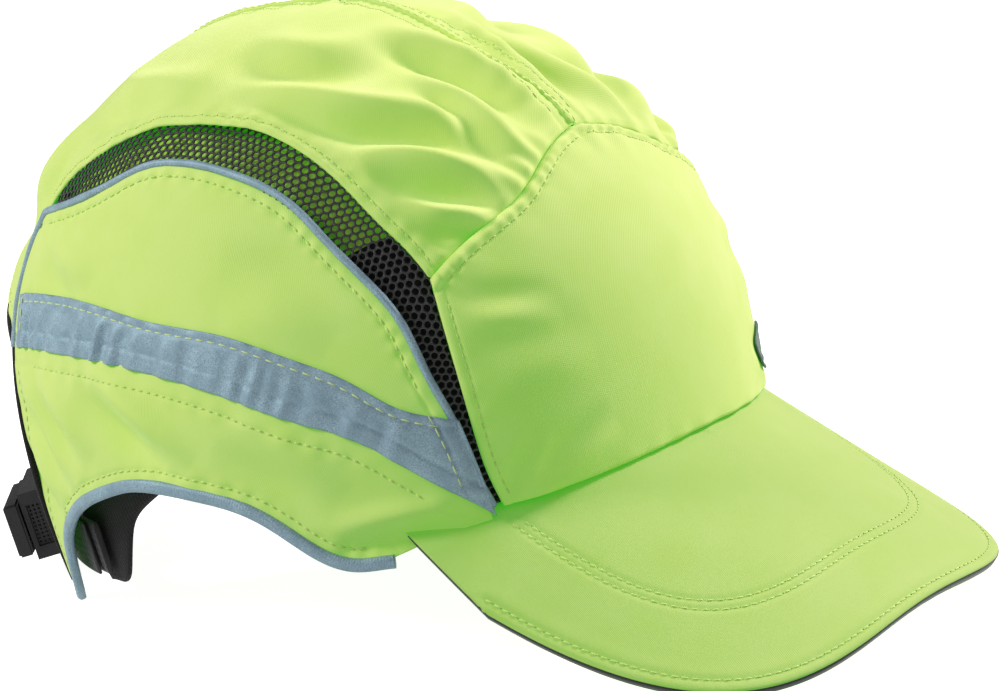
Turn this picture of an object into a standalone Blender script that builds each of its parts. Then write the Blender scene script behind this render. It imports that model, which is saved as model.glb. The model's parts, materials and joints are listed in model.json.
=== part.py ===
"""Bump cap: a fabric cap over a hard impact shell, with a cam buckle at the rear. Metres, +Z up.

The brim points to -Y and the wearer's right is -X. The cap stands on the plane z = 0 with the
edge of its brim and the tips of its two wings. Every sheet follows one dome, described by rings.
"""

import math

import bmesh
import bpy
import numpy as np
from mathutils import Matrix, Vector

# Crown: the dome that the outer fabric follows, measured from the level of its lowest ring.
CROWN_HEIGHT = 0.146
CROWN_HALF_WIDTH = 0.092
FRONT_REACH = 0.1035
REAR_REACH = 0.102
PLAN_POWER = 2.15  # 2 would make each ring elliptic, more makes it squarer
CROWN_RINGS = (  # level, then the share of the front, side and rear reach there
    (0.00, 0.995, 0.989, 0.804),
    (0.20, 1.000, 1.000, 1.000),
    (0.40, 0.908, 0.902, 0.951),
    (0.60, 0.647, 0.717, 0.735),
    (0.75, 0.367, 0.467, 0.539),
    (0.88, 0.174, 0.217, 0.314),
    (1.00, 0.000, 0.000, 0.000),
)

# How the cap stands: the crown's lowest ring above the table, and its lean backwards.
CROWN_LEVEL = 0.0027
LEAN = math.radians(1.93)

# Seams on the wearer's right: degrees round from the front, and the share of the crown's height.
RIDGE = ((0, 0.788), (12, 0.763), (23, 0.715), (36, 0.665), (45, 0.610))
FRONT_SIDE = ((38.6, 0.226), (40.4, 0.280), (42.0, 0.360), (43.5, 0.460), (44.6, 0.550), (45, 0.610))
VENT_EDGE = (
    (45, 0.610), (48, 0.664), (51, 0.700), (56, 0.760), (64, 0.815), (77, 0.850),
    (91, 0.857), (105, 0.848), (115, 0.815), (124, 0.765), (129, 0.700),
)
PIPING = (
    (41.8, 0.270), (45, 0.384), (48, 0.460), (51, 0.548), (55, 0.610), (61, 0.680),
    (67, 0.740), (77, 0.781), (89, 0.800), (98, 0.795), (107, 0.760), (118, 0.719), (128, 0.690),
)
PIPING_FOOT = (40.2, 0.228)
PIPING_DROP = ((128, 0.690), (129.5, 0.60), (129.5, 0.52), (128.6, 0.450))
WING_REAR = ((127.0, -0.005), (126.8, 0.10), (126.0, 0.17), (125.0, 0.26), (126.0, 0.35), (128.6, 0.450))
ARCH = ((128.6, 0.450), (140, 0.490), (160, 0.530), (180, 0.540))
HEM = (
    (57, 0.150), (62, 0.148), (66, 0.165), (71, 0.205), (77, 0.245), (83, 0.262), (89, 0.270),
    (95, 0.267), (99, 0.253), (106, 0.219), (113, 0.164), (118, 0.096), (122, 0.027), (127.0, -0.005),
)
BAND_TOP = (
    (45.5, 0.385), (53, 0.411), (60, 0.459), (69, 0.500), (79, 0.534), (90, 0.548),
    (101, 0.565), (117, 0.565), (126.5, 0.548),
)
BAND_BOTTOM = (
    (43.0, 0.240), (46, 0.262), (53, 0.315), (60, 0.363), (69, 0.397), (78, 0.432), (88, 0.459),
    (98, 0.473), (110, 0.473), (125.3, 0.455),
)
LINING_FRONT = (
    (91, 0.262), (97, 0.215), (102, 0.165), (105, 0.110), (108, 0.060), (114, 0.030), (119, 0.022),
)
LINING_BACK = (
    (93, 0.300), (108, 0.335), (120, 0.330), (123.0, 0.260), (124.0, 0.170), (124.6, 0.080),
    (124.4, 0.030),
)

# Sheets: how far each one lies inside the dome, and how thick it is.
FABRIC_THICKNESS = 0.0010
MESH_DEPTH = 0.0017
MESH_THICKNESS = 0.0006
VENT_LINING_DEPTH = 0.0028
VENT_LINING_THICKNESS = 0.0005
SHELL_DEPTH = 0.0042
SHELL_THICKNESS = 0.0020
PAD_GAP = 0.0008
PAD_THICKNESS = 0.0040
SWEATBAND_DEPTH = 0.0042
SWEATBAND_THICKNESS = 0.0024
WING_LINING_DEPTH = 0.0082
WING_LINING_THICKNESS = 0.0022
BAND_LIFT = 0.0009
BAND_THICKNESS = 0.0005
TAPE_WIDTH = 0.0032
SEAM_GAP = 0.0005  # between two sheets that are sewn edge to edge
BRIM_SEAM_GAP = 0.0011  # between the crown's lower edge and the brim, which meet at a slant
PANEL_START = 0.03  # share of the piping that runs on ahead of the side panel
SIDE_PANEL_LEAD = 3.4  # degrees between the front panel's corner and the side panel's
SIDE_BOTTOM_SHARE = 0.2  # of the side panel's lower edge, the part along the brim
SIDE_REAR_SHARE = 0.62  # of its rear edge, the part up the wing
VENT_EDGE_SHARE = 0.3  # of the vent's outer edge, the part beside the front panel
VENT_FOOT_SHARE = 0.06  # of its inner edge, the part below the piping's first point
VENT_TUCK = 0.0035  # how far the mesh and its lining reach under the panels
LINING_SHARES = (0.42, 0.36)  # of the vent's outer and inner edges, the part that is lined
TAPE_SPAN = (0.97, 0.96)  # shares of the centre line that the seam tape stops at
CROWN_PAD_RIM = 0.93  # share of the crown's height at the crown pad's edge
SWEATBAND_INSET = 0.012  # above the crown's lower edge, on the chart
PIPING_RADIUS = 0.00105
BINDING_RADIUS = 0.00145
TRIM_SINK = 0.0004  # how far the middle of a piping or binding lies inside the dome

# Lower parts inside: heights as shares of the crown's height.
SHELL_RIM = ((0, 0.475), (45, 0.470), (90, 0.475), (130, 0.560), (180, 0.620))
SWEATBAND_TOP = 0.420
SWEATBAND_END = 88
PATCH_LENGTH = 0.024
PATCH_HEIGHT = 0.012
PATCH_ANGLE = 30.5
PATCH_LEVEL = 0.315

# Brim: a curved board between two covers. Its top surface starts at BRIM_ROOT on the centre line.
BRIM_ROOT = 0.256  # share of the crown's height
BRIM_SLOPE = 0.63
BRIM_SIDE_DROP = 0.041643  # of the arch, as far out as the crown's sides
BRIM_ARCH = BRIM_SIDE_DROP / CROWN_HALF_WIDTH**2
BRIM_ARCH_FADE = 6.0
BRIM_HALF_WIDTH = CROWN_HALF_WIDTH - 0.0124
BRIM_CORNER = 0.0617  # how far the corners lie in front of the crown's middle
BRIM_LENGTH = 0.1017  # from the corners to the front edge
BRIM_POWER = 3.46
BRIM_END_ANGLE = 55  # round the crown, where the brim ends
BRIM_OUTLINE_END = 84
COVER_THICKNESS = 0.0006
BOARD_THICKNESS = 0.0012
BOARD_INSET = 0.0008
BRIM_TUCK = 0.0014  # how far the brim reaches under the front panel's edge

# Adjuster strap: a band on a cone about an upright axis, so that it slides along itself.
STRAP_AXIS_Y = 0.004
STRAP_RADIUS = 0.0858
STRAP_MIDDLE = 0.0165
STRAP_WIDTH = 0.0150
STRAP_FLARE = 0.20  # radius gained for each unit of height
STRAP_THICKNESS = 0.0016
STRAP_END = 110
STRAP_CLEARANCE = 0.0004
WEBBING_THICKNESS = 0.0010
WEBBING_START = 112

# Cam buckle, in its own frame: x along the strap towards the front, y up, z outwards.
BUCKLE_ANGLE = 142.5
BUCKLE_LENGTH = 0.0260
BUCKLE_WALL = 0.0016
BUCKLE_FLOOR = 0.0016
BUCKLE_DEPTH = 0.0105  # walls above the strap's middle
BLOCK_LENGTH = 0.0080
LEVER_THICKNESS = 0.0042
LEVER_LENGTH = 0.0230
LEVER_GAP = 0.0004
PIN_RADIUS = 0.0012
PIN_X = -0.0075
PIN_Z = 0.0066
CAM_RADIUS = 0.0040
NECK_HALF = 0.0030
LOBE_RADIUS = 0.0016
BORE_CLEARANCE = 0.0003
GRIP_LENGTH = 0.0120
GRIP_DEPTH = 0.0008
SMALL_BEVEL = 0.0006
BUCKLE_PLAY = 0.0010  # between the strap and the buckle's floor
GRIP_MARGINS = (0.0032, 0.0014)  # round the grip recess, below and above
LEVER_OVERHANG = 0.0012  # of the lever past the body's front end

FLOAT_ERROR = 1e-5  # metres; a point this far below the table still counts as on it

RINGS = np.array(CROWN_RINGS)
BRIM_STACK = 2 * COVER_THICKNESS + BOARD_THICKNESS + 2 * SEAM_GAP
BRIM_REACH = BRIM_CORNER + BRIM_LENGTH
PIPING_MARGIN = PIPING_RADIUS + SEAM_GAP
BINDING_MARGIN = BINDING_RADIUS + SEAM_GAP


def natural_spline(knots, values):
    """A function that passes smoothly through the values, and runs straight on past the ends."""
    knots = np.asarray(knots, float)
    values = np.asarray(values, float)
    step = np.diff(knots)
    slope = (np.diff(values, axis=0).T / step).T
    count = len(knots)
    matrix = np.eye(count)
    right = np.zeros_like(values)
    for i in range(1, count - 1):
        matrix[i, i - 1 : i + 2] = step[i - 1], 2 * (step[i - 1] + step[i]), step[i]
        right[i] = 6 * (slope[i] - slope[i - 1])
    bend = np.linalg.solve(matrix, right)

    def value_at(place):
        i = int(np.clip(np.searchsorted(knots, place) - 1, 0, count - 2))
        near = place - knots[i]
        far = knots[i + 1] - place
        if near < 0 or far < 0:
            end, inner = (i, 1.0) if near < 0 else (i + 1, -1.0)
            grade = slope[i] - inner * step[i] * (2 * bend[end] + bend[2 * i + 1 - end]) / 6
            return values[end] + grade * (place - knots[end])
        curved = bend[i] * far**3 + bend[i + 1] * near**3
        straight = (values[i] - bend[i] * step[i] ** 2 / 6) * far
        straight = straight + (values[i + 1] - bend[i + 1] * step[i] ** 2 / 6) * near
        return (curved / 6 + straight) / step[i]

    return value_at


ring_shares = natural_spline(RINGS[:, 0], RINGS[:, 1:])


def chart(angle, height, side=-1):
    """A point of the flat chart of the dome: its distance from the apex and its way round."""
    level = math.asin(min(1.0, height)) / (math.pi / 2)
    turn = math.radians(angle)
    return np.array((side * math.sin(turn), -math.cos(turn))) * (1 - level)


def dome_point(place):
    """The dome's surface over a chart point."""
    distance = float(np.hypot(*place))
    level = 1 - distance
    front, across, back = ring_shares(level)
    if distance < 1e-9:
        return np.array((0, 0, CROWN_HEIGHT))
    sideways, forwards = place / distance
    power = 2 / PLAN_POWER
    reach = front * FRONT_REACH if forwards < 0 else back * REAR_REACH
    x = across * CROWN_HALF_WIDTH * math.copysign(abs(sideways) ** power, sideways)
    y = reach * math.copysign(abs(forwards) ** power, forwards)
    return np.array((x, y, CROWN_HEIGHT * math.sin(level * math.pi / 2)))


def dome_normal(place):
    """The outward direction of the dome over a chart point."""
    step = 0.004
    across = dome_point(place + (step, 0)) - dome_point(place - (step, 0))
    along = dome_point(place + (0, step)) - dome_point(place - (0, step))
    normal = np.cross(across, along)
    return normal / np.linalg.norm(normal)


def dome(place, depth=0.0):
    return dome_point(place) - dome_normal(place) * depth


def seam(points, side=-1):
    """A smooth line on the chart through seam points, as a function from 0 to 1."""
    places = np.array([chart(angle, height, side) for angle, height in points])
    steps = np.linalg.norm(np.diff(places, axis=0), axis=1)
    lengths = np.concatenate(([0], np.cumsum(steps))) / steps.sum()
    return natural_spline(lengths, places)


def chain(first, second, share):
    """Two lines run one after the other; the first takes the given share."""
    return lambda u: first(u / share) if u <= share else second((u - share) / (1 - share))


def flipped(line):
    return lambda u: line(1 - u)


def part_of(line, start, end):
    return lambda u: line(start + (end - start) * u)


def straight(start, end):
    return lambda u: start * (1 - u) + end * u


def brim_height(x, y):
    """The brim's top surface over a point, measured from the crown's lowest ring."""
    root = BRIM_ROOT * CROWN_HEIGHT
    ahead = -y - FRONT_REACH
    return root - BRIM_SLOPE * ahead - BRIM_ARCH * x * x * (1 - BRIM_ARCH_FADE * ahead)


def brim_root(angle, side=-1):
    """The chart point where the brim's top surface meets the dome."""
    height = BRIM_ROOT
    for _ in range(8):
        x, y, _ = dome_point(chart(angle, height, side))
        height = brim_height(x, y) / CROWN_HEIGHT
    return chart(angle, height, side)


def brim_line(start, end):
    """The seam along the brim's root; angles below zero lie on the wearer's right."""
    def place(u):
        angle = start + (end - start) * u
        return brim_root(abs(angle), -1 if angle < 0 else 1)

    return place


def grid(bottom, top, left, right, columns, rows):
    """Chart points of a four-sided panel, blended between its edges."""
    corners = bottom(0), bottom(1), top(0), top(1)
    places = np.empty((rows + 1, columns + 1, 2))
    for i in range(rows + 1):
        v = i / rows
        for j in range(columns + 1):
            u = j / columns
            ruled = (1 - v) * bottom(u) + v * top(u) + (1 - u) * left(v) + u * right(v)
            flat = (1 - v) * ((1 - u) * corners[0] + u * corners[1])
            flat = flat + v * ((1 - u) * corners[2] + u * corners[3])
            places[i, j] = ruled - flat
    return places


def pull_in(points, margins):
    """Moves the edge rows towards their neighbours, by the margin of each side."""
    low, high, left, right = margins
    sides = (
        (points[0], points[1], low),
        (points[-1], points[-2], high),
        (points[:, 0], points[:, 1], left),
        (points[:, -1], points[:, -2], right),
    )
    for edge, inner, margin in sides:
        way = inner - edge
        way /= np.linalg.norm(way, axis=1, keepdims=True)
        run = np.gradient(edge, axis=0)
        run /= np.linalg.norm(run, axis=1, keepdims=True)
        squareness = np.linalg.norm(np.cross(way, run), axis=1).clip(0.4)
        edge += way * (np.broadcast_to(margin, len(way)) / squareness)[:, None]


def principled(name, colour, roughness, metallic=0.0):
    material = bpy.data.materials.new(name)
    material.use_nodes = True
    shader = material.node_tree.nodes["Principled BSDF"]
    shader.inputs["Base Color"].default_value = (*colour, 1)
    shader.inputs["Roughness"].default_value = roughness
    shader.inputs["Metallic"].default_value = metallic
    material.diffuse_color = (*colour, 1)
    return material


def hi_vis_fabric(name):
    return principled(name, (0.46, 0.80, 0.05), 0.75)


def reflective_tape(name):
    return principled(name, (0.36, 0.47, 0.58), 0.45)


def black_fabric(name):
    return principled(name, (0.012, 0.013, 0.013), 0.85)


def black_foam(name):
    return principled(name, (0.020, 0.020, 0.021), 0.95)


def hi_vis_polymer(name):
    return principled(name, (0.40, 0.78, 0.04), 0.40)


def black_polymer(name):
    return principled(name, (0.015, 0.016, 0.017), 0.40)


def green_patch(name):
    return principled(name, (0.01, 0.10, 0.04), 0.60)


def add_object(name, mesh, material, parts):
    obj = bpy.data.objects.new(name, mesh)
    parts["collection"].objects.link(obj)
    obj.parent = parts["stand"]
    mesh.materials.append(material(name))
    mesh.shade_smooth()
    mesh.set_sharp_from_angle(angle=math.radians(40))
    return obj


def thicken(obj, thickness):
    """Turns an open sheet into a solid that grows inwards."""
    solidify = obj.modifiers.new("Thickness", "SOLIDIFY")
    solidify.thickness = thickness
    solidify.offset = -1


def sheet_mesh(name, points):
    """An open sheet over rows and columns of points, facing away from the crown's middle."""
    rows, columns = points.shape[:2]
    build = bmesh.new()
    corners = [build.verts.new(point) for point in points.reshape(-1, 3)]
    for i in range(rows - 1):
        for j in range(columns - 1):
            start = i * columns + j
            ring = start, start + 1, start + columns + 1, start + columns
            build.faces.new([corners[k] for k in ring])
    build.normal_update()
    build.faces.ensure_lookup_table()
    middle = build.faces[len(build.faces) // 2]
    outwards = middle.calc_center_median() - Vector((0, 0, CROWN_HEIGHT / 3))
    if middle.normal.dot(outwards) < 0:
        bmesh.ops.reverse_faces(build, faces=build.faces)
    mesh = bpy.data.meshes.new(name)
    build.to_mesh(mesh)
    build.free()
    return mesh


def panel(parts, name, places, depth, thickness, material, margins=(0, 0, 0, 0)):
    """A sheet on the dome over a grid of chart points."""
    points = np.array([[dome(place, depth) for place in row] for row in places])
    pull_in(points, margins)
    obj = add_object(name, sheet_mesh(name, points), material, parts)
    thicken(obj, thickness)
    return obj


def tube(parts, name, points, radius, material):
    """A round trim along a line of points, turned into a mesh."""
    curve = bpy.data.curves.new(name, "CURVE")
    curve.dimensions = "3D"
    curve.bevel_depth = radius
    curve.bevel_resolution = 2
    curve.use_fill_caps = True
    spline = curve.splines.new("POLY")
    spline.points.add(len(points) - 1)
    for target, point in zip(spline.points, points):
        target.co = (*point, 1)
    guide = bpy.data.objects.new(name + "_guide", curve)
    parts["collection"].objects.link(guide)
    graph = bpy.context.evaluated_depsgraph_get()
    mesh = bpy.data.meshes.new_from_object(guide.evaluated_get(graph))
    bpy.data.objects.remove(guide)
    build = bmesh.new()
    build.from_mesh(mesh)
    bmesh.ops.remove_doubles(build, verts=build.verts, dist=0.00001)
    build.to_mesh(mesh)
    build.free()
    mesh.name = name
    return add_object(name, mesh, material, parts)


def trim_points(line, count, depth=TRIM_SINK):
    return [dome(line(i / count), depth) for i in range(count + 1)]


def cut_flat(obj, stand):
    """Cuts a piece off flat at the table, so that the cap has real faces to stand on."""
    build = bmesh.new()
    build.from_mesh(obj.data)
    build.transform(stand)
    whole = build.verts[:] + build.edges[:] + build.faces[:]
    cut = bmesh.ops.bisect_plane(
        build, geom=whole, plane_co=(0, 0, 0), plane_no=(0, 0, 1), clear_inner=True, dist=1e-7
    )
    edges = [item for item in cut["geom_cut"] if isinstance(item, bmesh.types.BMEdge)]
    if edges:
        bmesh.ops.holes_fill(build, edges=edges)
        bmesh.ops.triangulate(build, faces=[face for face in build.faces if len(face.verts) > 4])
    bmesh.ops.recalc_face_normals(build, faces=build.faces)
    build.transform(stand.inverted())
    build.to_mesh(obj.data)
    build.free()


def lines_of(side):
    """The seams of one side of the cap."""
    return {
        "front_side": seam(FRONT_SIDE, side),
        "ridge": seam(RIDGE, side),
        "vent": seam(VENT_EDGE, side),
        "piping": seam(PIPING, side),
        "drop": seam(PIPING_DROP, side),
        "wing_rear": seam(WING_REAR, side),
        "arch": seam(ARCH, side),
        "hem": seam(HEM, side),
        "band_top": seam(BAND_TOP, side),
        "band_bottom": seam(BAND_BOTTOM, side),
        "lining_front": seam(LINING_FRONT, side),
        "lining_back": seam(LINING_BACK, side),
    }


def front_panel(parts):
    right = lines_of(-1)
    left = lines_of(1)
    top = chain(flipped(right["ridge"]), left["ridge"], 0.5)
    bottom = brim_line(-FRONT_SIDE[0][0], FRONT_SIDE[0][0])
    places = grid(bottom, top, right["front_side"], left["front_side"], 14, 7)
    margins = BRIM_SEAM_GAP, SEAM_GAP, SEAM_GAP, SEAM_GAP
    panel(parts, "front_panel", places, 0, FABRIC_THICKNESS, hi_vis_fabric, margins)


def crown_panel(parts, name, side):
    lines = lines_of(side)
    columns, share = 20, 0.8
    bottom = chain(lines["vent"], lines["drop"], share)
    middle = straight(chart(0, RIDGE[0][1]), chart(180, ARCH[-1][1]))
    places = grid(bottom, middle, flipped(lines["ridge"]), lines["arch"], columns, 7)
    low = np.where(np.arange(columns + 1) > share * columns, PIPING_MARGIN, SEAM_GAP)
    margins = low, SEAM_GAP / 2, SEAM_GAP, BINDING_MARGIN
    panel(parts, name, places, 0, FABRIC_THICKNESS, hi_vis_fabric, margins)


def crown_seam_tape(parts):
    start, end = chart(0, RIDGE[0][1]), chart(180, ARCH[-1][1])
    line = straight(start * TAPE_SPAN[0], end * TAPE_SPAN[1])
    rows = []
    for i in range(25):
        middle = dome(line(i / 24), -BAND_LIFT)
        rows.append([middle + (x * TAPE_WIDTH / 2, 0, 0) for x in (-1, 0, 1)])
    obj = add_object("crown_seam_tape", sheet_mesh("tape", np.array(rows)), hi_vis_fabric, parts)
    thicken(obj, BAND_THICKNESS)


def side_panel(parts, name, side):
    lines = lines_of(side)
    columns = 20
    first = FRONT_SIDE[0][0] + SIDE_PANEL_LEAD
    brim_part = brim_line(side * first, side * HEM[0][0])
    bottom = chain(brim_part, lines["hem"], SIDE_BOTTOM_SHARE)
    rear = chain(lines["wing_rear"], flipped(lines["drop"]), SIDE_REAR_SHARE)
    top = part_of(lines["piping"], PANEL_START, 1)
    front = straight(bottom(0), top(0))
    places = grid(bottom, top, front, rear, columns, 8)
    beyond_brim = np.arange(columns + 1) > SIDE_BOTTOM_SHARE * columns
    low = np.where(beyond_brim, BINDING_MARGIN, BRIM_SEAM_GAP)
    margins = low, PIPING_MARGIN, PIPING_MARGIN, BINDING_MARGIN
    panel(parts, name, places, 0, FABRIC_THICKNESS, hi_vis_fabric, margins)


def vent(parts, word, side):
    """The black mesh in the vent, and the lining behind its front end; both reach under the panels."""
    lines = lines_of(side)
    foot = chart(*PIPING_FOOT, side)
    outer = chain(lines["front_side"], lines["vent"], VENT_EDGE_SHARE)
    inner = chain(straight(foot, lines["piping"](0)), lines["piping"], VENT_FOOT_SHARE)
    places = grid(inner, outer, straight(inner(0), outer(0)), straight(inner(1), outer(1)), 26, 3)
    margins = -VENT_TUCK, -VENT_TUCK, 0, -VENT_TUCK / 2
    panel(parts, "vent_mesh_" + word, places, MESH_DEPTH, MESH_THICKNESS, black_fabric, margins)
    outer_front = part_of(outer, 0, LINING_SHARES[0])
    inner_front = part_of(inner, 0, LINING_SHARES[1])
    ends = straight(inner_front(0), outer_front(0)), straight(inner_front(1), outer_front(1))
    places = grid(inner_front, outer_front, *ends, 10, 2)
    name = "vent_lining_" + word
    margins = -VENT_TUCK, -VENT_TUCK, 0, 0
    panel(parts, name, places, VENT_LINING_DEPTH, VENT_LINING_THICKNESS, black_fabric, margins)


def trims(parts, word, side):
    lines = lines_of(side)
    foot = chart(*PIPING_FOOT, side)
    points = trim_points(straight(foot, lines["piping"](0)), 1)[:-1]
    points += trim_points(lines["piping"], 20)
    points += trim_points(lines["drop"], 5)[1:-1]
    tube(parts, "vent_piping_" + word, points, PIPING_RADIUS, reflective_tape)
    binding = tube(
        parts, "hem_binding_" + word, trim_points(lines["hem"], 22), BINDING_RADIUS, reflective_tape
    )
    cut_flat(binding, parts["stand_matrix"])


def rear_arch_binding(parts):
    points = []
    for side in (-1, 1):
        lines = lines_of(side)
        rising = [dome(lines["wing_rear"](i / 8), TRIM_SINK) for i in range(1, 8)]
        over = [dome(lines["arch"](i / 8), TRIM_SINK) for i in range(9 if side < 0 else 8)]
        run = rising + over
        points += run if side < 0 else run[::-1]
    tube(parts, "rear_arch_binding", points, BINDING_RADIUS, black_fabric)


def reflective_band(parts, word, side):
    lines = lines_of(side)
    ends = [straight(lines["band_bottom"](u), lines["band_top"](u)) for u in (0, 1)]
    places = grid(lines["band_bottom"], lines["band_top"], *ends, 18, 2)
    margins = 0, 0, 0.0022, 0
    name = "reflective_band_" + word
    panel(parts, name, places, -BAND_LIFT, BAND_THICKNESS, reflective_tape, margins)


def dome_cap(parts, name, rim, spokes, rings, depth, thickness, material):
    """A round sheet over the top of the dome, out to a rim line."""
    points = [dome(np.zeros(2), depth)]
    for ring in range(1, rings + 1):
        points += [dome(rim(spoke / spokes) * ring / rings, depth) for spoke in range(spokes)]
    faces = [(0, 1 + k, 1 + (k + 1) % spokes) for k in range(spokes)]
    for ring in range(rings - 1):
        low = 1 + ring * spokes
        for k in range(spokes):
            near = (k + 1) % spokes
            faces.append((low + k, low + spokes + k, low + spokes + near, low + near))
    mesh = bpy.data.meshes.new(name)
    mesh.from_pydata([tuple(point) for point in points], [], faces)
    build = bmesh.new()
    build.from_mesh(mesh)
    bmesh.ops.recalc_face_normals(build, faces=build.faces)
    build.faces.ensure_lookup_table()
    if build.faces[0].normal.z < 0:
        bmesh.ops.reverse_faces(build, faces=build.faces)
    build.to_mesh(mesh)
    build.free()
    obj = add_object(name, mesh, material, parts)
    thicken(obj, thickness)
    return obj


def impact_shell(parts):
    right, left = seam(SHELL_RIM, -1), seam(SHELL_RIM, 1)
    rim = chain(right, flipped(left), 0.5)
    dome_cap(parts, "impact_shell", rim, 36, 10, SHELL_DEPTH, SHELL_THICKNESS, hi_vis_polymer)


def hide_cutter(cutter, parts, collection):
    for owner in list(cutter.users_collection):
        owner.objects.unlink(cutter)
    parts[collection].objects.link(cutter)
    cutter.parent = parts["stand"]
    cutter.hide_render = True
    cutter.display_type = "WIRE"


def pads(parts):
    depth = SHELL_DEPTH + SHELL_THICKNESS + PAD_GAP

    def right(u):
        return chart(180 * u, CROWN_PAD_RIM, -1)

    def left(u):
        return chart(180 * (1 - u), CROWN_PAD_RIM, 1)

    rim = chain(right, left, 0.5)
    dome_cap(parts, "crown_pad", rim, 18, 3, depth, PAD_THICKNESS, black_foam)
    # Each pad: its two end angles and its two heights.
    places = {
        "front_pad": (-34, 34, 0.50, 0.72),
        "side_pad_right": (-112, -62, 0.52, 0.70),
        "side_pad_left": (62, 112, 0.52, 0.70),
        "rear_pad": (146, 214, 0.66, 0.80),
    }
    for name, (start, end, low, high) in places.items():
        bottom, top = (arc_line(start, end, height) for height in (low, high))
        ends = [straight(bottom(u), top(u)) for u in (0, 1)]
        panel(parts, name, grid(bottom, top, *ends, 8, 4), depth, PAD_THICKNESS, black_foam)


def arc_line(start, end, height):
    """A level line round the crown; angles below zero lie on the wearer's right."""
    return lambda u: chart(start + (end - start) * u, height, 1)


def sweatband(parts):
    """A band round the forehead and temples, a little above the lower edge of the crown."""
    def bottom(u):
        angle = abs(SWEATBAND_END * (2 * u - 1))
        edge = brim_root(angle) if angle < HEM[0][0] else hem_place(angle)
        place = edge * (1 - SWEATBAND_INSET / np.hypot(*edge))
        return place * (math.copysign(1, u - 0.5) * -1, 1)

    top = arc_line(-SWEATBAND_END, SWEATBAND_END, SWEATBAND_TOP)
    ends = [straight(bottom(u), top(u)) for u in (0, 1)]
    places = grid(bottom, top, *ends, 24, 2)
    panel(parts, "sweatband", places, SWEATBAND_DEPTH, SWEATBAND_THICKNESS, black_fabric)


def hem_place(angle):
    """The chart point of the hem at an angle, on the wearer's right."""
    angles, heights = zip(*HEM)
    return chart(angle, float(np.interp(angle, angles, heights)))


def wing_lining(parts, word, side):
    lines = lines_of(side)
    front, back = lines["lining_front"], lines["lining_back"]
    ends = [straight(front(u), back(u)) for u in (0, 1)]
    places = grid(front, back, *ends, 12, 3)
    name = "wing_lining_" + word
    panel(parts, name, places, WING_LINING_DEPTH, WING_LINING_THICKNESS, black_fabric)


def front_patch(parts):
    """A plain oval patch on the front panel, low on the wearer's left."""
    rows = []
    for v in (-1, -0.5, 0, 0.5, 1):
        row = []
        for u in (-1, -0.75, -0.4, 0, 0.4, 0.75, 1):
            angle = PATCH_ANGLE + math.degrees(u * PATCH_LENGTH / 2 / CROWN_HALF_WIDTH)
            half = PATCH_HEIGHT / 2 * math.sqrt(max(0.12, 1 - (0.95 * u) ** 2))
            row.append(dome(chart(angle, PATCH_LEVEL + v * half / CROWN_HEIGHT, 1), -BAND_LIFT))
        rows.append(row)
    obj = add_object("front_patch", sheet_mesh("patch", np.array(rows)), green_patch, parts)
    thicken(obj, BAND_THICKNESS)


def brim_outline(turn, inset):
    power = 2 / BRIM_POWER
    across, ahead = math.sin(turn), math.cos(turn)
    x = (BRIM_HALF_WIDTH - inset) * math.copysign(abs(across) ** power, across)
    y = -(BRIM_CORNER + (BRIM_LENGTH - inset) * abs(ahead) ** power)
    return np.array((x, y))


def brim_point(flat, depth):
    """A point on the brim, sunk below its top surface along the surface's own direction."""
    x, y = flat
    step = 0.001
    slope_x = (brim_height(x + step, y) - brim_height(x - step, y)) / (2 * step)
    slope_y = (brim_height(x, y + step) - brim_height(x, y - step)) / (2 * step)
    normal = np.array((-slope_x, -slope_y, 1)) / math.sqrt(slope_x**2 + slope_y**2 + 1)
    return np.array((x, y, brim_height(x, y))) - normal * depth


def brim_layer(parts, name, depth, thickness, inset, material):
    columns, rows = 20, 5
    points = np.empty((rows + 1, columns + 1, 3))
    for j in range(columns + 1):
        u = 2 * j / columns - 1
        root = brim_root(abs(u) * BRIM_END_ANGLE, math.copysign(1, u))
        inner = dome(root, BRIM_TUCK + inset)[:2]
        outer = brim_outline(math.radians(u * BRIM_OUTLINE_END), inset)
        for i in range(rows + 1):
            points[i, j] = brim_point(inner + (outer - inner) * i / rows, depth)
    obj = add_object(name, sheet_mesh(name, points), material, parts)
    thicken(obj, thickness)


def brim(parts):
    lower = COVER_THICKNESS + SEAM_GAP
    brim_layer(parts, "brim_top_cover", 0, COVER_THICKNESS, 0, hi_vis_fabric)
    brim_layer(parts, "brim_board", lower, BOARD_THICKNESS, BOARD_INSET, black_polymer)
    lower += BOARD_THICKNESS + SEAM_GAP
    brim_layer(parts, "brim_under_cover", lower, COVER_THICKNESS, 0, hi_vis_fabric)


def strap_point(angle, up, lift=0.0):
    """A point of the strap's cone: degrees from the front, height from its middle, and lift outwards."""
    lean = math.atan(STRAP_FLARE)
    radius = STRAP_RADIUS + up * math.sin(lean) + lift * math.cos(lean)
    height = STRAP_MIDDLE + up * math.cos(lean) - lift * math.sin(lean)
    turn = math.radians(angle)
    return np.array((math.sin(turn) * radius, STRAP_AXIS_Y - math.cos(turn) * radius, height))


def strap_band(start, end, width, low, high, step=5):
    """A closed band on the strap's cone between two lifts."""
    count = max(2, round(abs(end - start) / step))
    build = bmesh.new()
    sections = []
    for i in range(count + 1):
        angle = start + (end - start) * i / count
        corners = ((-width / 2, low), (width / 2, low), (width / 2, high), (-width / 2, high))
        sections.append([build.verts.new(strap_point(angle, up, lift)) for up, lift in corners])
    for near, far in zip(sections, sections[1:]):
        for k in range(4):
            build.faces.new((near[k], near[(k + 1) % 4], far[(k + 1) % 4], far[k]))
    build.faces.new(sections[0])
    build.faces.new(sections[-1])
    bmesh.ops.recalc_face_normals(build, faces=build.faces)
    mesh = bpy.data.meshes.new("band")
    build.to_mesh(mesh)
    build.free()
    return mesh


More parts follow.
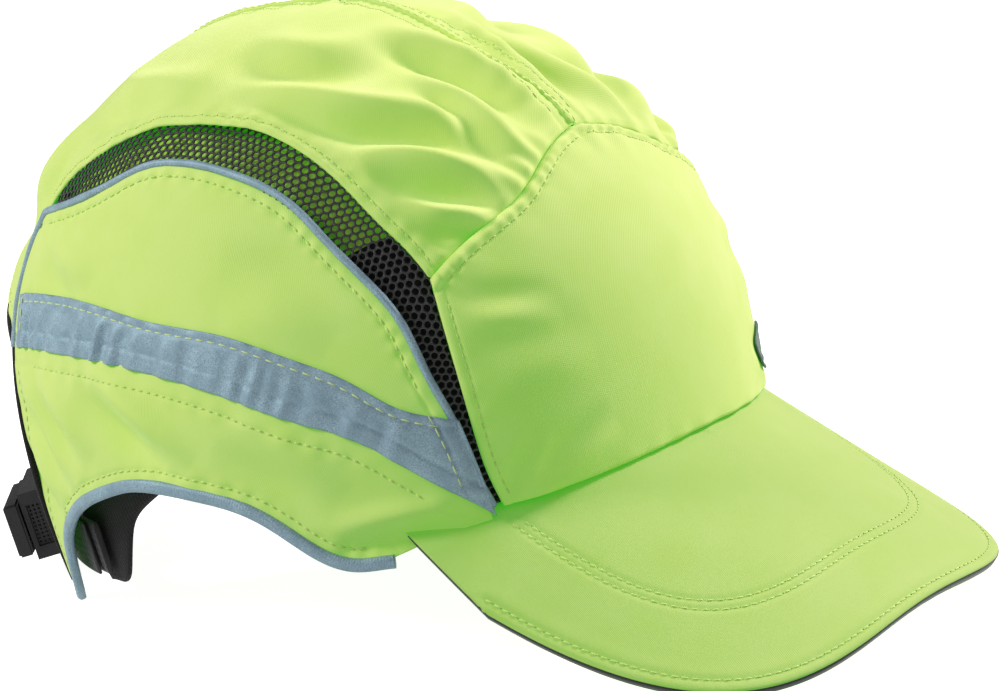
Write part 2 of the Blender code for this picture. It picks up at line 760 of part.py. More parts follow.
def strap(parts):
    half = STRAP_THICKNESS / 2
    mesh = strap_band(STRAP_END, 360 - STRAP_END, STRAP_WIDTH, -half, half)
    pivot = bpy.data.objects.new("strap_pivot", None)
    parts["collection"].objects.link(pivot)
    pivot.parent = parts["stand"]
    pivot.location = (0, STRAP_AXIS_Y, 0)
    mesh.transform(Matrix.Translation((0, -STRAP_AXIS_Y, 0)))
    obj = add_object("adjuster_strap", mesh, black_fabric, parts)
    obj.parent = pivot
    low = half + STRAP_CLEARANCE
    mesh = strap_band(
        -WEBBING_START, -(BUCKLE_ANGLE - 3), STRAP_WIDTH, low, low + WEBBING_THICKNESS
    )
    add_object("buckle_webbing", mesh, black_fabric, parts)


def buckle_frame():
    middle = Vector(strap_point(-BUCKLE_ANGLE, 0))
    out = Vector(strap_point(-BUCKLE_ANGLE, 0, 1)) - middle
    up = Vector(strap_point(-BUCKLE_ANGLE, 1)) - middle
    matrix = Matrix((up.cross(out), up, out)).transposed().to_4x4()
    matrix.translation = middle
    return matrix


def box(build, low, high):
    made = bmesh.ops.create_cube(build, size=1)
    size = [b - a for a, b in zip(low, high)]
    middle = [(a + b) / 2 for a, b in zip(low, high)]
    matrix = Matrix.Translation(middle) @ Matrix.Diagonal((*size, 1))
    bmesh.ops.transform(build, matrix=matrix, verts=made["verts"])
    return made["verts"]


def rod(build, radius, x, z, half_length, segments=24):
    """A cylinder along the buckle's y axis."""
    made = bmesh.ops.create_cone(
        build, cap_ends=True, segments=segments, radius1=radius, radius2=radius, depth=2 * half_length
    )
    matrix = Matrix.Translation((x, 0, z)) @ Matrix.Rotation(math.pi / 2, 4, "X")
    bmesh.ops.transform(build, matrix=matrix, verts=made["verts"])


def piece(parts, name, shapes, material=black_polymer, hidden=False):
    """One object in the buckle's frame from a function that adds its shapes."""
    build = bmesh.new()
    shapes(build)
    mesh = bpy.data.meshes.new(name)
    build.to_mesh(mesh)
    build.free()
    obj = add_object(name, mesh, material, parts)
    obj.matrix_basis = buckle_frame()
    if hidden:
        hide_cutter(obj, parts, "buckle_cutters")
    return obj


def boolean(obj, other, operation):
    modifier = obj.modifiers.new(operation.title(), "BOOLEAN")
    modifier.operation = operation
    modifier.object = other


def buckle(parts):
    half_length = BUCKLE_LENGTH / 2
    inner_half = STRAP_WIDTH / 2 + STRAP_CLEARANCE
    outer_half = inner_half + BUCKLE_WALL
    floor_top = -STRAP_THICKNESS / 2 - STRAP_CLEARANCE - BUCKLE_PLAY
    floor = floor_top - BUCKLE_FLOOR
    block_low = STRAP_THICKNESS / 2 + STRAP_CLEARANCE

    def solid(build):
        box(build, (-half_length, -outer_half, floor), (half_length, outer_half, BUCKLE_DEPTH))

    def channel(build):
        end = half_length - BLOCK_LENGTH
        box(build, (-half_length - 0.01, -inner_half, floor_top), (end, inner_half, BUCKLE_DEPTH + 0.01))

    def grip(build):
        box(
            build,
            (half_length - GRIP_DEPTH, -GRIP_LENGTH / 2, block_low + GRIP_MARGINS[0]),
            (half_length + 0.01, GRIP_LENGTH / 2, BUCKLE_DEPTH - GRIP_MARGINS[1]),
        )

    def pin_hole(build):
        rod(build, PIN_RADIUS + BORE_CLEARANCE, PIN_X, PIN_Z, outer_half + 0.01)

    body = piece(parts, "buckle_body", solid)
    for name, shapes in (("channel", channel), ("grip_recess", grip), ("pin_hole", pin_hole)):
        boolean(body, piece(parts, name + "_cutter", shapes, hidden=True), "DIFFERENCE")
    clear = STRAP_CLEARANCE
    low = -STRAP_THICKNESS / 2 - clear
    high = STRAP_THICKNESS / 2 + 2 * clear + WEBBING_THICKNESS
    mesh = strap_band(-(BUCKLE_ANGLE - 14), -(BUCKLE_ANGLE + 14), STRAP_WIDTH + 2 * clear, low, high)
    cutter = add_object("strap_slot_cutter", mesh, black_polymer, parts)
    hide_cutter(cutter, parts, "buckle_cutters")
    boolean(body, cutter, "DIFFERENCE")

    def pin(build):
        rod(build, PIN_RADIUS, PIN_X, PIN_Z, outer_half)

    piece(parts, "buckle_pin", pin)
    lever_half = inner_half - LEVER_GAP
    lever_low = BUCKLE_DEPTH + LEVER_GAP

    def plate(build):
        front = half_length + LEVER_OVERHANG
        low_corner = (front - LEVER_LENGTH, -lever_half, lever_low)
        verts = box(build, low_corner, (front, lever_half, lever_low + LEVER_THICKNESS))
        edges = [edge for edge in build.edges if edge.verts[0] in verts]
        bmesh.ops.bevel(build, geom=edges, offset=SMALL_BEVEL, segments=2, affect="EDGES")

    def cam(build):
        rod(build, CAM_RADIUS, PIN_X, PIN_Z, lever_half)

    def neck(build):
        top = lever_low + LEVER_THICKNESS / 2
        box(build, (PIN_X - NECK_HALF, -lever_half, PIN_Z), (PIN_X + NECK_HALF, lever_half, top))

    def lobe(build):
        """The tooth that presses on the strap when the lever is shut."""
        low = STRAP_THICKNESS / 2 + STRAP_CLEARANCE + LOBE_RADIUS
        rod(build, LOBE_RADIUS, PIN_X, low, lever_half - LEVER_GAP)

    def bore(build):
        rod(build, PIN_RADIUS + BORE_CLEARANCE, PIN_X, PIN_Z, outer_half + 0.01)

    lever = piece(parts, "buckle_lever", plate)
    for name, shapes in (("cam", cam), ("neck", neck), ("lobe", lobe)):
        boolean(lever, piece(parts, name + "_cutter", shapes, hidden=True), "UNION")
    boolean(lever, piece(parts, "bore_cutter", bore, hidden=True), "DIFFERENCE")


def collections():
    parts = {}
    for key, name in (("collection", "bump_cap"), ("buckle_cutters", "buckle_cutters")):
        parts[key] = bpy.data.collections.new(name)
        bpy.context.scene.collection.children.link(parts[key])
    rear = dome_point(chart(180, ARCH[-1][1]))
    matrix = Matrix.Rotation(-LEAN, 4, "X")
    back = (matrix @ Vector(rear)).y + BINDING_RADIUS
    middle = (BRIM_REACH - back) / 2
    parts["stand_matrix"] = Matrix.Translation((0, middle, CROWN_LEVEL)) @ matrix
    stand = bpy.data.objects.new("stand", None)
    parts["collection"].objects.link(stand)
    stand.matrix_basis = parts["stand_matrix"]
    parts["stand"] = stand
    return parts


def main():
    for obj in list(bpy.data.objects):
        bpy.data.objects.remove(obj)
    parts = collections()
    front_panel(parts)
    crown_seam_tape(parts)
    impact_shell(parts)
    pads(parts)
    sweatband(parts)
    brim(parts)
    front_patch(parts)
    rear_arch_binding(parts)
    for word, side in (("right", -1), ("left", 1)):
        crown_panel(parts, "crown_panel_" + word, side)
        side_panel(parts, "side_panel_" + word, side)
        vent(parts, word, side)
        trims(parts, word, side)
        reflective_band(parts, word, side)
        wing_lining(parts, word, side)
    strap(parts)
    buckle(parts)
    rest_on_table(parts)


def rest_on_table(parts):
    """Raises the cap if any point of it would lie below the table."""
    bpy.context.view_layer.update()
    seen = bpy.context.evaluated_depsgraph_get()
    lowest = 0.0
    for obj in parts["collection"].all_objects:
        if obj.type == "MESH" and not obj.hide_render:
            solid = obj.evaluated_get(seen)
            lowest = min(lowest, *((solid.matrix_world @ point.co).z for point in solid.data.vertices))
    if lowest < -FLOAT_ERROR:
        parts["stand"].matrix_basis = Matrix.Translation((0, 0, -lowest)) @ parts["stand_matrix"]
    bpy.context.view_layer.update()


main()
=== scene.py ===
"""The looks of a bump cap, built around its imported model. Metres, +Z up, brim towards -Y.

Every fabric piece follows one dome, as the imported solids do. A place on the dome is a point of a
flat chart, whose middle is the apex. A seam is a smooth line on that chart, a panel is blended
between four lines, and a relief adds the folds, puckers and stitched grooves along the normal.
Shapes are worked out in the crown's own frame, and the stand matrix puts them in the row frame.
"""

import json
import math

import bmesh
import bpy
import numpy as np
from mathutils import Matrix, Vector

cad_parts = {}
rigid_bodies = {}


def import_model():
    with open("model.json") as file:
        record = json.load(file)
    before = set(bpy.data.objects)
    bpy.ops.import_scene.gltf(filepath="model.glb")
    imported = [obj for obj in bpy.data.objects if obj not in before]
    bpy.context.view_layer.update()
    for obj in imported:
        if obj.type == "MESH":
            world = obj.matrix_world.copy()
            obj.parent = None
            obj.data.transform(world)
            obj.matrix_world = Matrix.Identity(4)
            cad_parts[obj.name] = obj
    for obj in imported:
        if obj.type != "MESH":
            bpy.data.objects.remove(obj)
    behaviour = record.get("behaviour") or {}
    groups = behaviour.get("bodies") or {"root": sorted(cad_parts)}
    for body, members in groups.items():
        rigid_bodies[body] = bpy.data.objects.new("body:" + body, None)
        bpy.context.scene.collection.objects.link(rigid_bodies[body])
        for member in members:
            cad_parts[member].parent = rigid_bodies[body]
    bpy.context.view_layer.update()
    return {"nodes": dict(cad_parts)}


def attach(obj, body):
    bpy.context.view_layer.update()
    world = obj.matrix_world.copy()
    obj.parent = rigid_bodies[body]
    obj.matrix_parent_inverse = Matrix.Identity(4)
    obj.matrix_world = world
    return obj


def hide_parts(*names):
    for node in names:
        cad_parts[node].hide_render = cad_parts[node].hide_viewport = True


MM = 0.001

# Crown: the same dome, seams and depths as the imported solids.
CROWN_HEIGHT = 0.146
CROWN_HALF_WIDTH = 0.092
FRONT_REACH = 0.1035
REAR_REACH = 0.102
PLAN_POWER = 2.15
CROWN_RINGS = np.array((  # level, then the share of the front, side and rear reach there
    (0.00, 0.995, 0.989, 0.804),
    (0.20, 1.000, 1.000, 1.000),
    (0.40, 0.908, 0.902, 0.951),
    (0.60, 0.647, 0.717, 0.735),
    (0.75, 0.367, 0.467, 0.539),
    (0.88, 0.174, 0.217, 0.314),
    (1.00, 0.000, 0.000, 0.000),
))
CROWN_LEVEL = 0.0027
LEAN = math.radians(1.93)
REAR_MARGIN = 1.45 * MM  # how far the cap reaches behind the point of the rear opening

# Seams on one side: degrees round from the front, and the share of the crown's height.
SEAMS = {
    "ridge": ((0, 0.788), (12, 0.763), (23, 0.715), (36, 0.665), (45, 0.610)),
    "front_side": ((38.6, 0.226), (40.4, 0.280), (42, 0.360), (43.5, 0.460), (44.6, 0.550), (45, 0.610)),
    "vent": (
        (45, 0.610), (48, 0.664), (51, 0.700), (56, 0.760), (64, 0.815), (77, 0.850),
        (91, 0.857), (105, 0.848), (115, 0.815), (124, 0.765), (129, 0.700),
    ),
    "piping": (
        (41.8, 0.270), (45, 0.384), (48, 0.460), (51, 0.548), (55, 0.610), (61, 0.680), (67, 0.740),
        (77, 0.781), (89, 0.800), (98, 0.795), (107, 0.760), (118, 0.719), (128, 0.690),
    ),
    "drop": ((128, 0.690), (129.5, 0.60), (129.5, 0.52), (128.6, 0.450)),
    "wing_rear": (
        (127.0, -0.005), (126.8, 0.10), (126.0, 0.17), (125.0, 0.26), (126.0, 0.35), (128.6, 0.450),
    ),
    "arch": ((128.6, 0.450), (140, 0.490), (160, 0.530), (180, 0.540)),
    "hem": (
        (57, 0.150), (62, 0.148), (66, 0.165), (71, 0.205), (77, 0.245), (83, 0.262), (89, 0.270),
        (95, 0.267), (99, 0.253), (106, 0.219), (113, 0.164), (118, 0.096), (122, 0.027), (127.0, -0.005),
    ),
    "band_top": (
        (45.5, 0.385), (53, 0.411), (60, 0.459), (69, 0.500), (79, 0.534), (90, 0.548),
        (101, 0.565), (117, 0.565), (126.5, 0.548),
    ),
    "band_bottom": (
        (43.0, 0.240), (46, 0.262), (53, 0.315), (60, 0.363), (69, 0.397), (78, 0.432),
        (88, 0.459), (98, 0.473), (110, 0.473), (125.3, 0.455),
    ),
    "lining_front": (
        (91, 0.262), (97, 0.215), (102, 0.165), (105, 0.110), (108, 0.060), (114, 0.030), (119, 0.022),
    ),
    "lining_back": (
        (93, 0.300), (108, 0.335), (120, 0.330), (123.0, 0.260), (124.0, 0.170), (124.6, 0.080),
        (124.4, 0.030),
    ),
}
PIPING_FOOT = (40.2, 0.228)
FRONT_TUCK = 0.006  # how far the front panel runs on below the brim's root, on the chart
SIDE_FOOT_LEAD = 0.3  # degrees from the piping's foot to the side panel's corner

CLOTH = 0.75 * MM
HEM_FOLD = 1.0 * MM
NET_DEPTH = 1.5 * MM
NET_THICKNESS = 0.34 * MM
NET_PITCH = 2.1 * MM
NET_WALL = 0.46 * MM
NET_REACH = 0.036
NET_MARGIN = 1.5 * MM
LINING_DEPTH = 2.9 * MM
LINING_SPANS = {  # shares of the net's inner and outer edges
    "front": ((-0.04, 0.40), (-0.06, 0.375)),
    "rear": ((0.965, 1), (0.955, 1)),
}
SHELL_DEPTH = 4.2 * MM
SHELL_THICKNESS = 2.0 * MM
PAD_GAP = 0.8 * MM
PAD_THICKNESS = 4.0 * MM
SWEATBAND_DEPTH = 4.2 * MM
SWEATBAND_THICKNESS = 2.4 * MM
WING_LINING_DEPTH = 8.2 * MM
WING_LINING_THICKNESS = 2.2 * MM
PIPING_RADIUS = 1.05 * MM
BINDING_HALF_WIDTH = 1.75 * MM
BINDING_HALF_THICKNESS = 1.25 * MM
PIPING_SINK = 0.15 * MM
HEM_SINK = 0.25 * MM
REAR_BINDING_SINK = 0.4 * MM
REAR_BINDING_RADIUS = 0.95 * MM
BAND_LIFT = 0.85 * MM
BAND_WAVE = 0.78 * MM
BAND_RIPPLE = 9.2 * MM
BAND_FINE_RIPPLE = 5.7 * MM
BAND_CALM = 0.045  # the ripples are weaker over this length at the front, and grow over the next
BAND_FADE = 0.06
CENTRE_STRIP_WIDTH = 3.2 * MM
CENTRE_STRIP_LIFT = 0.55 * MM
SWEATBAND_TOP = 0.420
SWEATBAND_END = 88
SWEATBAND_RISE = 0.012  # how far its lower edge lies above the seams, on the chart
PATCH_LENGTH = 0.024
PATCH_HEIGHT = 0.012
PATCH_ANGLE = 30.5
PATCH_LEVEL = 0.315

# Brim: its top surface over the table, and its outline.
BRIM_ROOT = 0.256
BRIM_SLOPE = 0.63
BRIM_ARCH = 4.92
BRIM_ARCH_FADE = 6.0
BRIM_HALF_WIDTH = 0.0796
BRIM_CORNER = 0.0617
BRIM_LENGTH = 0.1017
BRIM_POWER = 3.46
BRIM_END_ANGLE = 55
BRIM_OUTLINE_END = 84
BRIM_TUCK = 0.0034
COVER_THICKNESS = 0.6 * MM
BOARD_THICKNESS = 1.2 * MM
BRIM_GAP = 0.5 * MM
BOARD_LEAD = 0.2 * MM
BOARD_LIFT = 0.25 * MM
BOARD_GROWTH = 0.3 * MM
UNDER_INSET = 0.3 * MM
CROWN_CLEARANCE = 2.2 * MM
BRIM_EDGE_ROW = 2.3 * MM
BRIM_ROW_HALF_WIDTH = 0.0582
BRIM_ROW_START = 0.0840
BRIM_ROW_LENGTH = 0.0595
BRIM_ROW_POWER = 3.2
BRIM_ROW_GAP = 2.1 * MM

# Adjuster strap on its cone, and the buckle that it runs through.
STRAP_AXIS_Y = 0.004
STRAP_RADIUS = 0.0858
STRAP_MIDDLE = 0.0165
STRAP_WIDTH = 0.0150
STRAP_FLARE = 0.20
STRAP_THICKNESS = 0.0016
STRAP_END = 110
STRAP_CLEARANCE = 0.0004
WEBBING_THICKNESS = 0.0010
RIB_PITCH = 1.5 * MM
WEBBING_START = 112
BUCKLE_ANGLE = 142.5
BUCKLE_LENGTH = 0.0260
BUCKLE_DEPTH = 0.0105
GRIP_LENGTH = 0.0120
GRIP_DEPTH = 0.0008
DOTS = (10, 4)  # raised dots in each grip: columns, rows
DOT_SIZE = (0.45 * MM, 0.36 * MM, 0.36 * MM)
DOTS_LOW = 3.2 * MM
DOTS_HIGH = 1.4 * MM
DOTS_MARGIN = 0.6 * MM

# Sewing.
STITCH = 1.9 * MM
STITCH_GAP = 0.6 * MM
# The dark discs between stitches are painted shade for the needle holes.
THREAD_RADIUS = 0.20 * MM
SHADE_DISC_RADIUS = 0.20 * MM
SIDE_THREAD_RADIUS = 0.26 * MM
BAND_STITCH = 3.0 * MM
BAND_STITCH_GAP = 0.35 * MM
BAND_ROW_INSET = 2.2 * MM
BAND_FRONT_ROW = 4.6 * MM
BAND_ROW_MARGIN = 3.5 * MM
CENTRE_ROW = 1.05 * MM

# Folds on one side: degrees from the front and shares of the height, then width and height in mm.
FOLDS = {
    "crown": (
        (((36, 0.962), (17, 0.930), (10.5, 0.886), (7.2, 0.832), (7.0, 0.792)), 4.2, 1.25),
        (((30.5, 0.900), (24.2, 0.870), (21.2, 0.820), (19.0, 0.752)), 3.2, 0.85),
        (
            ((88, 0.896), (76, 0.894), (56.5, 0.868), (41, 0.846), (28, 0.818), (21.8, 0.772), (20, 0.74)),
            4.4, 1.15,
        ),
        (((52.8, 0.800), (45, 0.788), (36.8, 0.762), (29, 0.732), (24.5, 0.705)), 3.9, 1.15),
        (((48, 0.728), (43.2, 0.700), (35, 0.684), (30, 0.665)), 3.0, 0.80),
        (((98, 0.952), (67, 0.938), (46, 0.936), (21, 0.948)), 5.5, 0.75),
        (((150, 0.90), (128, 0.87), (108, 0.885), (92, 0.90)), 6.0, 0.70),
        (((158, 0.62), (146, 0.68), (138, 0.76), (134, 0.84)), 6.0, 0.80),
        (((172, 0.66), (166, 0.75), (160, 0.86)), 6.5, 0.60),
    ),
    "side": (
        (((104.5, 0.445), (96.5, 0.394), (90.8, 0.350), (86.0, 0.300)), 4.2, 0.95),
        (((118.0, 0.410), (109.5, 0.350), (104.0, 0.285)), 4.2, 0.70),
        (((121.0, 0.650), (114.0, 0.610), (106.0, 0.575)), 4.5, 0.55),
        (((66.0, 0.178), (54.5, 0.212), (42.5, 0.216)), 3.2, 0.55),
        (((60.0, 0.560), (68.0, 0.600), (80.0, 0.610)), 7.0, 0.45),
        (((124.0, 0.300), (118.0, 0.210), (112.0, 0.190)), 4.0, 0.45),
        (((124.5, 0.395), (116.5, 0.330), (110.5, 0.262), (106.5, 0.235)), 3.4, 0.60),
        (((80.0, 0.380), (72.0, 0.330), (64.0, 0.250)), 5.0, 0.45),
    ),
    "front": (
        (((24.0, 0.538), (36.2, 0.552), (43.5, 0.556)), 3.2, 0.45),
        (((19.0, 0.340), (28.8, 0.284), (38.0, 0.226)), 3.0, 0.50),
        (((30.5, 0.340), (36.0, 0.268), (38.4, 0.234)), 2.2, 0.35),
        (((20.0, 0.480), (32.0, 0.470), (41.5, 0.440)), 5.0, 0.35),
    ),
}
FOLD_DEPTH = 3.4  # how much deeper the folds are made than their heights say
LEFT_FOLD_SHARE = 0.85
FRONT_FOLD_SHARE = 0.55
FOLD_FREE = 3 * MM  # the folds die out this near the net, over a few millimetres more
FOLD_FADE = {"crown": 5 * MM, "side": 6 * MM}

# Broad unevenness of each panel: height, scale, seed.
UNEVEN = {"front": (0.55 * MM, 0.070, 3), "crown": (0.95 * MM, 0.060, 11), "side": (1.0 * MM, 0.065, 21)}

# Grooves along seams, in mm: the line, how far beside it, depth, width. A ridge has a depth below 0.
GROOVES = {
    "front": (
        ("ridge", 2.0, -0.45, 1.3), ("ridge", 0, 0.7, 0.7), ("ridge", 3.6, 0.38, 0.55),
        ("front_side", 2.7, 0.30, 0.5),
    ),
    "brim_root": (("brim", 0, 0.8, 1.2),),
    "crown": (
        ("ridge", 0, 0.75, 1.1), ("vent", 2.7, 0.30, 0.5), ("drop", 0, 0.5, 1.0), ("arch", 0, 0.3, 0.8),
        ("arch", 4.2, 0.28, 0.5), ("middle", 0, -0.5, 2.2), ("middle", 4.6, 0.25, 0.6),
    ),
    "side": (
        ("piping", 0, 0.45, 1.2), ("piping", 3.9, 0.38, 0.6), ("hem", 3.8, 0.30, 0.6),
        ("band_bottom", 4.6, 0.28, 0.6), ("wing_rear", 3.8, 0.25, 0.6), ("drop", 0, 0.4, 1.0),
    ),
}

# Puckers across seams, in mm: the line, how far beside it, pitch, height, reach; then a seed.
PUCKERS = {
    "front": (
        ("ridge", 2.2, 4.4, 0.30, 1.7, 2), ("ridge", 5, 12.5, 0.22, 5, 5),
        ("front_side", 2.7, 8.5, 0.20, 2.6, 4),
    ),
    "brim_root": (("brim", 0, 11, 0.22, 4, 1),),
    "crown": (
        ("ridge", 2, 6.8, 0.42, 7, 3), ("vent", 2.8, 6.2, 0.26, 2.4, 6), ("vent", 8, 19, 0.40, 8, 8),
        ("arch", 3, 7.5, 0.25, 3, 9), ("middle", 5, 9.5, 0.30, 5, 12),
    ),
    "side": (
        ("piping", 3.6, 5.8, 0.30, 1.9, 5), ("hem", 3.6, 6.6, 0.26, 2.0, 7),
        ("band_bottom", 4.6, 8.5, 0.24, 2.4, 2),
    ),
}

# Edges folded under: they turn down this much over this width.
FOLDED_EDGES = ("front_side", "vent")
EDGE_ROLL = 0.45 * MM
EDGE_ROLL_WIDTH = 1.1 * MM

# Rows of stitches: the line, how far beside it in mm, and the points left out at its start and end.
STITCH_ROWS = {
    "front": (("ridge", -3.6, 3, 4), ("front_side", 2.7, 4, 8)),
    "crown": (("vent", 2.7, 4, 0), ("arch", 4.2, 3, 6), ("middle", -4.6, 4, 8)),
    "side": (
        ("piping", -3.8, 24, 3), ("hem", 3.8, 6, 14), ("band_bottom", -4.6, 12, 10),
        ("wing_rear", 3.8, 14, 10),
    ),
}
LINE_POINTS = 120
FINER_LINES = {"vent": 160, "piping": 160, "hem": 160, "middle": 200}
ROW_LINES = FINER_LINES | {"band_bottom": 140}

# Foam pads: first and last angle, lowest and highest share of the height, sewn channels.
PADS = {
    "front_pad": (-34, 34, 0.50, 0.72, 6),
    "side_pad_right": (-112, -62, 0.52, 0.70, 4),
    "side_pad_left": (62, 112, 0.52, 0.70, 4),
    "rear_pad": (146, 214, 0.66, 0.80, 5),
}
CROWN_PAD_RIM = 0.93

# Fluorescent cloth: its three tones, and a painted green glow that stands for its fluorescence and lifts its
# shade to a saturated green.
HI_VIS = (0.64, 0.53, 0.21)
HI_VIS_DEEP = (0.60, 0.51, 0.18)
HI_VIS_PALE = (0.67, 0.55, 0.25)
HI_VIS_PAINTED_GLOW = (0.0, 1.0, 0.0)
HI_VIS_PAINTED_GLOW_STRENGTH = 0.28

# Camera and lights, round a point in the middle of the crown.
CAMERA_TARGET = (0.0009, -0.0400, 0.0547)
CAMERA_AZIMUTH = math.radians(-52.58)
CAMERA_ELEVATION = math.radians(14.0)
CAMERA_ROLL = math.radians(-5.8)
CAMERA_DISTANCE = 0.884
CAMERA_LENS = 121.1
CAMERA_SENSOR = 36
FLOOR_SIZE = 12
FLOOR_DROP = 0.3 * MM
FLOOR_GLOW = 0.90
# Each light: azimuth and elevation in degrees, distance, size, power, colour.
LIGHTS = {
    "key": (62, 36, 1.6, 0.40, 29, (1.0, 0.96, 0.97)),
    "fill": (-136, 36, 1.8, 0.45, 21, (1.0, 0.97, 0.97)),
}
WORLD_STRENGTH = 0.37
WORLD_COLOUR = (1.0, 1.0, 1.0)


# ---------------------------------------------------------------- the dome and its chart


def spline(knots, values):
    """A natural cubic through the values, which runs straight on past both ends."""
    knots = np.asarray(knots, float)
    values = np.asarray(values, float)
    step = np.diff(knots)
    slope = np.diff(values, axis=0) / step[:, None]
    matrix = np.eye(len(knots))
    right = np.zeros_like(values)
    for i in range(1, len(knots) - 1):
        matrix[i, i - 1 : i + 2] = step[i - 1], 2 * (step[i - 1] + step[i]), step[i]
        right[i] = 6 * (slope[i] - slope[i - 1])
    bend = np.linalg.solve(matrix, right)
    first = slope[0] - step[0] * (2 * bend[0] + bend[1]) / 6
    last = slope[-1] + step[-1] * (bend[-2] + 2 * bend[-1]) / 6

    def value_at(place):
        place = np.asarray(place, float)
        inside = place.clip(knots[0], knots[-1])
        i = (np.searchsorted(knots, inside, side="right") - 1).clip(0, len(knots) - 2)
        near = (inside - knots[i])[..., None]
        far = (knots[i + 1] - inside)[..., None]
        width = step[i][..., None]
        curved = (bend[i] * far**3 + bend[i + 1] * near**3) / (6 * width)
        straight = (values[i] / width - bend[i] * width / 6) * far
        straight += (values[i + 1] / width - bend[i + 1] * width / 6) * near
        beyond = np.where((place < knots[0])[..., None], first, last)
        return curved + straight + (place - inside)[..., None] * beyond

    return value_at


ring_shares = spline(CROWN_RINGS[:, 0], CROWN_RINGS[:, 1:])


def unit(vectors):
    """The vectors at length 1."""
    return vectors / np.maximum(np.linalg.norm(vectors, axis=-1, keepdims=True), 1e-12)


def lengths_along(line):
    """The length of a line of points up to each of them."""
    return np.concatenate(([0], np.cumsum(np.linalg.norm(np.diff(line, axis=0), axis=1))))


def chart(angle, height, side=-1):
    """The chart point at an angle from the front and a share of the crown's height."""
    level = np.arcsin(np.clip(height, -1, 1)) / (math.pi / 2)
    turn = np.radians(angle)
    return np.stack((side * np.sin(turn), -np.cos(turn)), -1) * (1 - level)[..., None]


def reaches(level, forwards):
    """How far the dome reaches sideways and along at a level, ahead of or behind its middle."""
    front, across, back = np.moveaxis(ring_shares(level), -1, 0)
    return across * CROWN_HALF_WIDTH, np.where(forwards < 0, front * FRONT_REACH, back * REAR_REACH)


def dome_point(places):
    """Points of the dome at chart places, in the crown's own frame."""
    distance = np.linalg.norm(places, axis=-1)
    sideways, forwards = np.moveaxis(places / np.maximum(distance, 1e-9)[..., None], -1, 0)
    half_width, reach = reaches(1 - distance, forwards)
    power = 2 / PLAN_POWER
    x = half_width * np.sign(sideways) * np.abs(sideways) ** power
    y = reach * np.sign(forwards) * np.abs(forwards) ** power
    return np.stack((x, y, CROWN_HEIGHT * np.sin((1 - distance) * math.pi / 2)), -1)


def dome_normal(places):
    """The way straight out of the dome at chart places."""
    step = 0.004
    across = dome_point(places + (step, 0)) - dome_point(places - (step, 0))
    along = dome_point(places + (0, step)) - dome_point(places - (0, step))
    return unit(np.cross(across, along))


def place_of(points):
    """The chart point under a point that lies on or near the dome."""
    level = np.arcsin(np.clip(points[..., 2] / CROWN_HEIGHT, -1, 1)) / (math.pi / 2)
    half_width, reach = reaches(level, points[..., 1])
    sideways = np.abs(points[..., 0] / half_width) ** (PLAN_POWER / 2)
    forwards = np.abs(points[..., 1] / reach) ** (PLAN_POWER / 2)
    way = np.stack((np.sign(points[..., 0]) * sideways, np.sign(points[..., 1]) * forwards), -1)
    return unit(way) * (1 - level)[..., None]


def raised(places, height):
    """Points at a height over the dome, in its own frame."""
    return dome_point(places) + dome_normal(places) * np.asarray(height)[..., None]


def seam(points, side=-1):
    """A smooth line through places given as an angle and a share of the height; it runs from 0 to 1."""
    places = np.array([chart(angle, height, side) for angle, height in points])
    lengths = lengths_along(places)
    return spline(lengths / lengths[-1], places)


def lines_of(side):
    """One side's seams, with the crown's middle line."""
    return {name: seam(points, side) for name, points in SEAMS.items()} | {"middle": centre_line()}


def chain(first, second, share):
    """Two lines run one after the other; the first takes the given share."""

    def line(u):
        start = first(np.minimum(u, share) / share)
        end = second(np.maximum(u - share, 0) / (1 - share))
        return np.where((np.asarray(u) <= share)[..., None], start, end)

    return line


def flipped(line):
    """The same line, run the other way."""
    return lambda u: line(1 - u)


def part_of(line, start, end):
    """The stretch of a line between two shares of it, which may lie past its ends."""
    return lambda u: line(start + (end - start) * u)


def straight(start, end):
    return lambda u: start * (1 - np.asarray(u))[..., None] + end * np.asarray(u)[..., None]


def centre_line():
    """Over the crown from the front panel to the opening at the back."""
    return straight(chart(*SEAMS["ridge"][0]), chart(*SEAMS["arch"][-1]))


def lowered(line, share):
    """A line moved down the dome: the chart's distances grow by the share."""
    return lambda u: line(u) * (1 + share)


def brim_height(x, y):
    """The brim's top surface: it slopes down to the front and arches across."""
    ahead = -y - FRONT_REACH
    return BRIM_ROOT * CROWN_HEIGHT - BRIM_SLOPE * ahead - BRIM_ARCH * x * x * (1 - BRIM_ARCH_FADE * ahead)


def brim_line(start, end):
    """The line along the brim's root; angles below zero lie on the wearer's right."""

    def place(u):
        angle = start + (end - start) * np.asarray(u, float)
        side = np.where(angle < 0, -1.0, 1.0)
        height = np.full_like(angle, BRIM_ROOT)
        for _ in range(8):
            points = dome_point(chart_sided(np.abs(angle), height, side))
            height = brim_height(points[..., 0], points[..., 1]) / CROWN_HEIGHT
        return chart_sided(np.abs(angle), height, side)

    return place


def chart_sided(angle, height, side):
    return chart(angle, height, 1) * np.stack((side, np.ones_like(side)), -1)


def grid(bottom, top, left, right, columns, rows):
    """Chart points of a four-sided panel, blended between its edges."""
    u = np.linspace(0, 1, columns + 1)
    v = np.linspace(0, 1, rows + 1)
    across, up = u[None, :, None], v[:, None, None]
    ruled = (1 - up) * bottom(u)[None] + up * top(u)[None]
    ruled = ruled + (1 - across) * left(v)[:, None] + across * right(v)[:, None]
    low, high = bottom(np.array((0.0, 1.0))), top(np.array((0.0, 1.0)))
    flat = (1 - up) * ((1 - across) * low[0] + across * low[1])
    return ruled - flat - up * ((1 - across) * high[0] + across * high[1])


def strip(bottom, top, columns, rows):
    """Chart points between two lines whose ends are joined straight."""
    ends = [straight(bottom(u), top(u)) for u in (0, 1)]
    return grid(bottom, top, *ends, columns, rows)


# ---------------------------------------------------------------- relief: folds, puckers, grooves


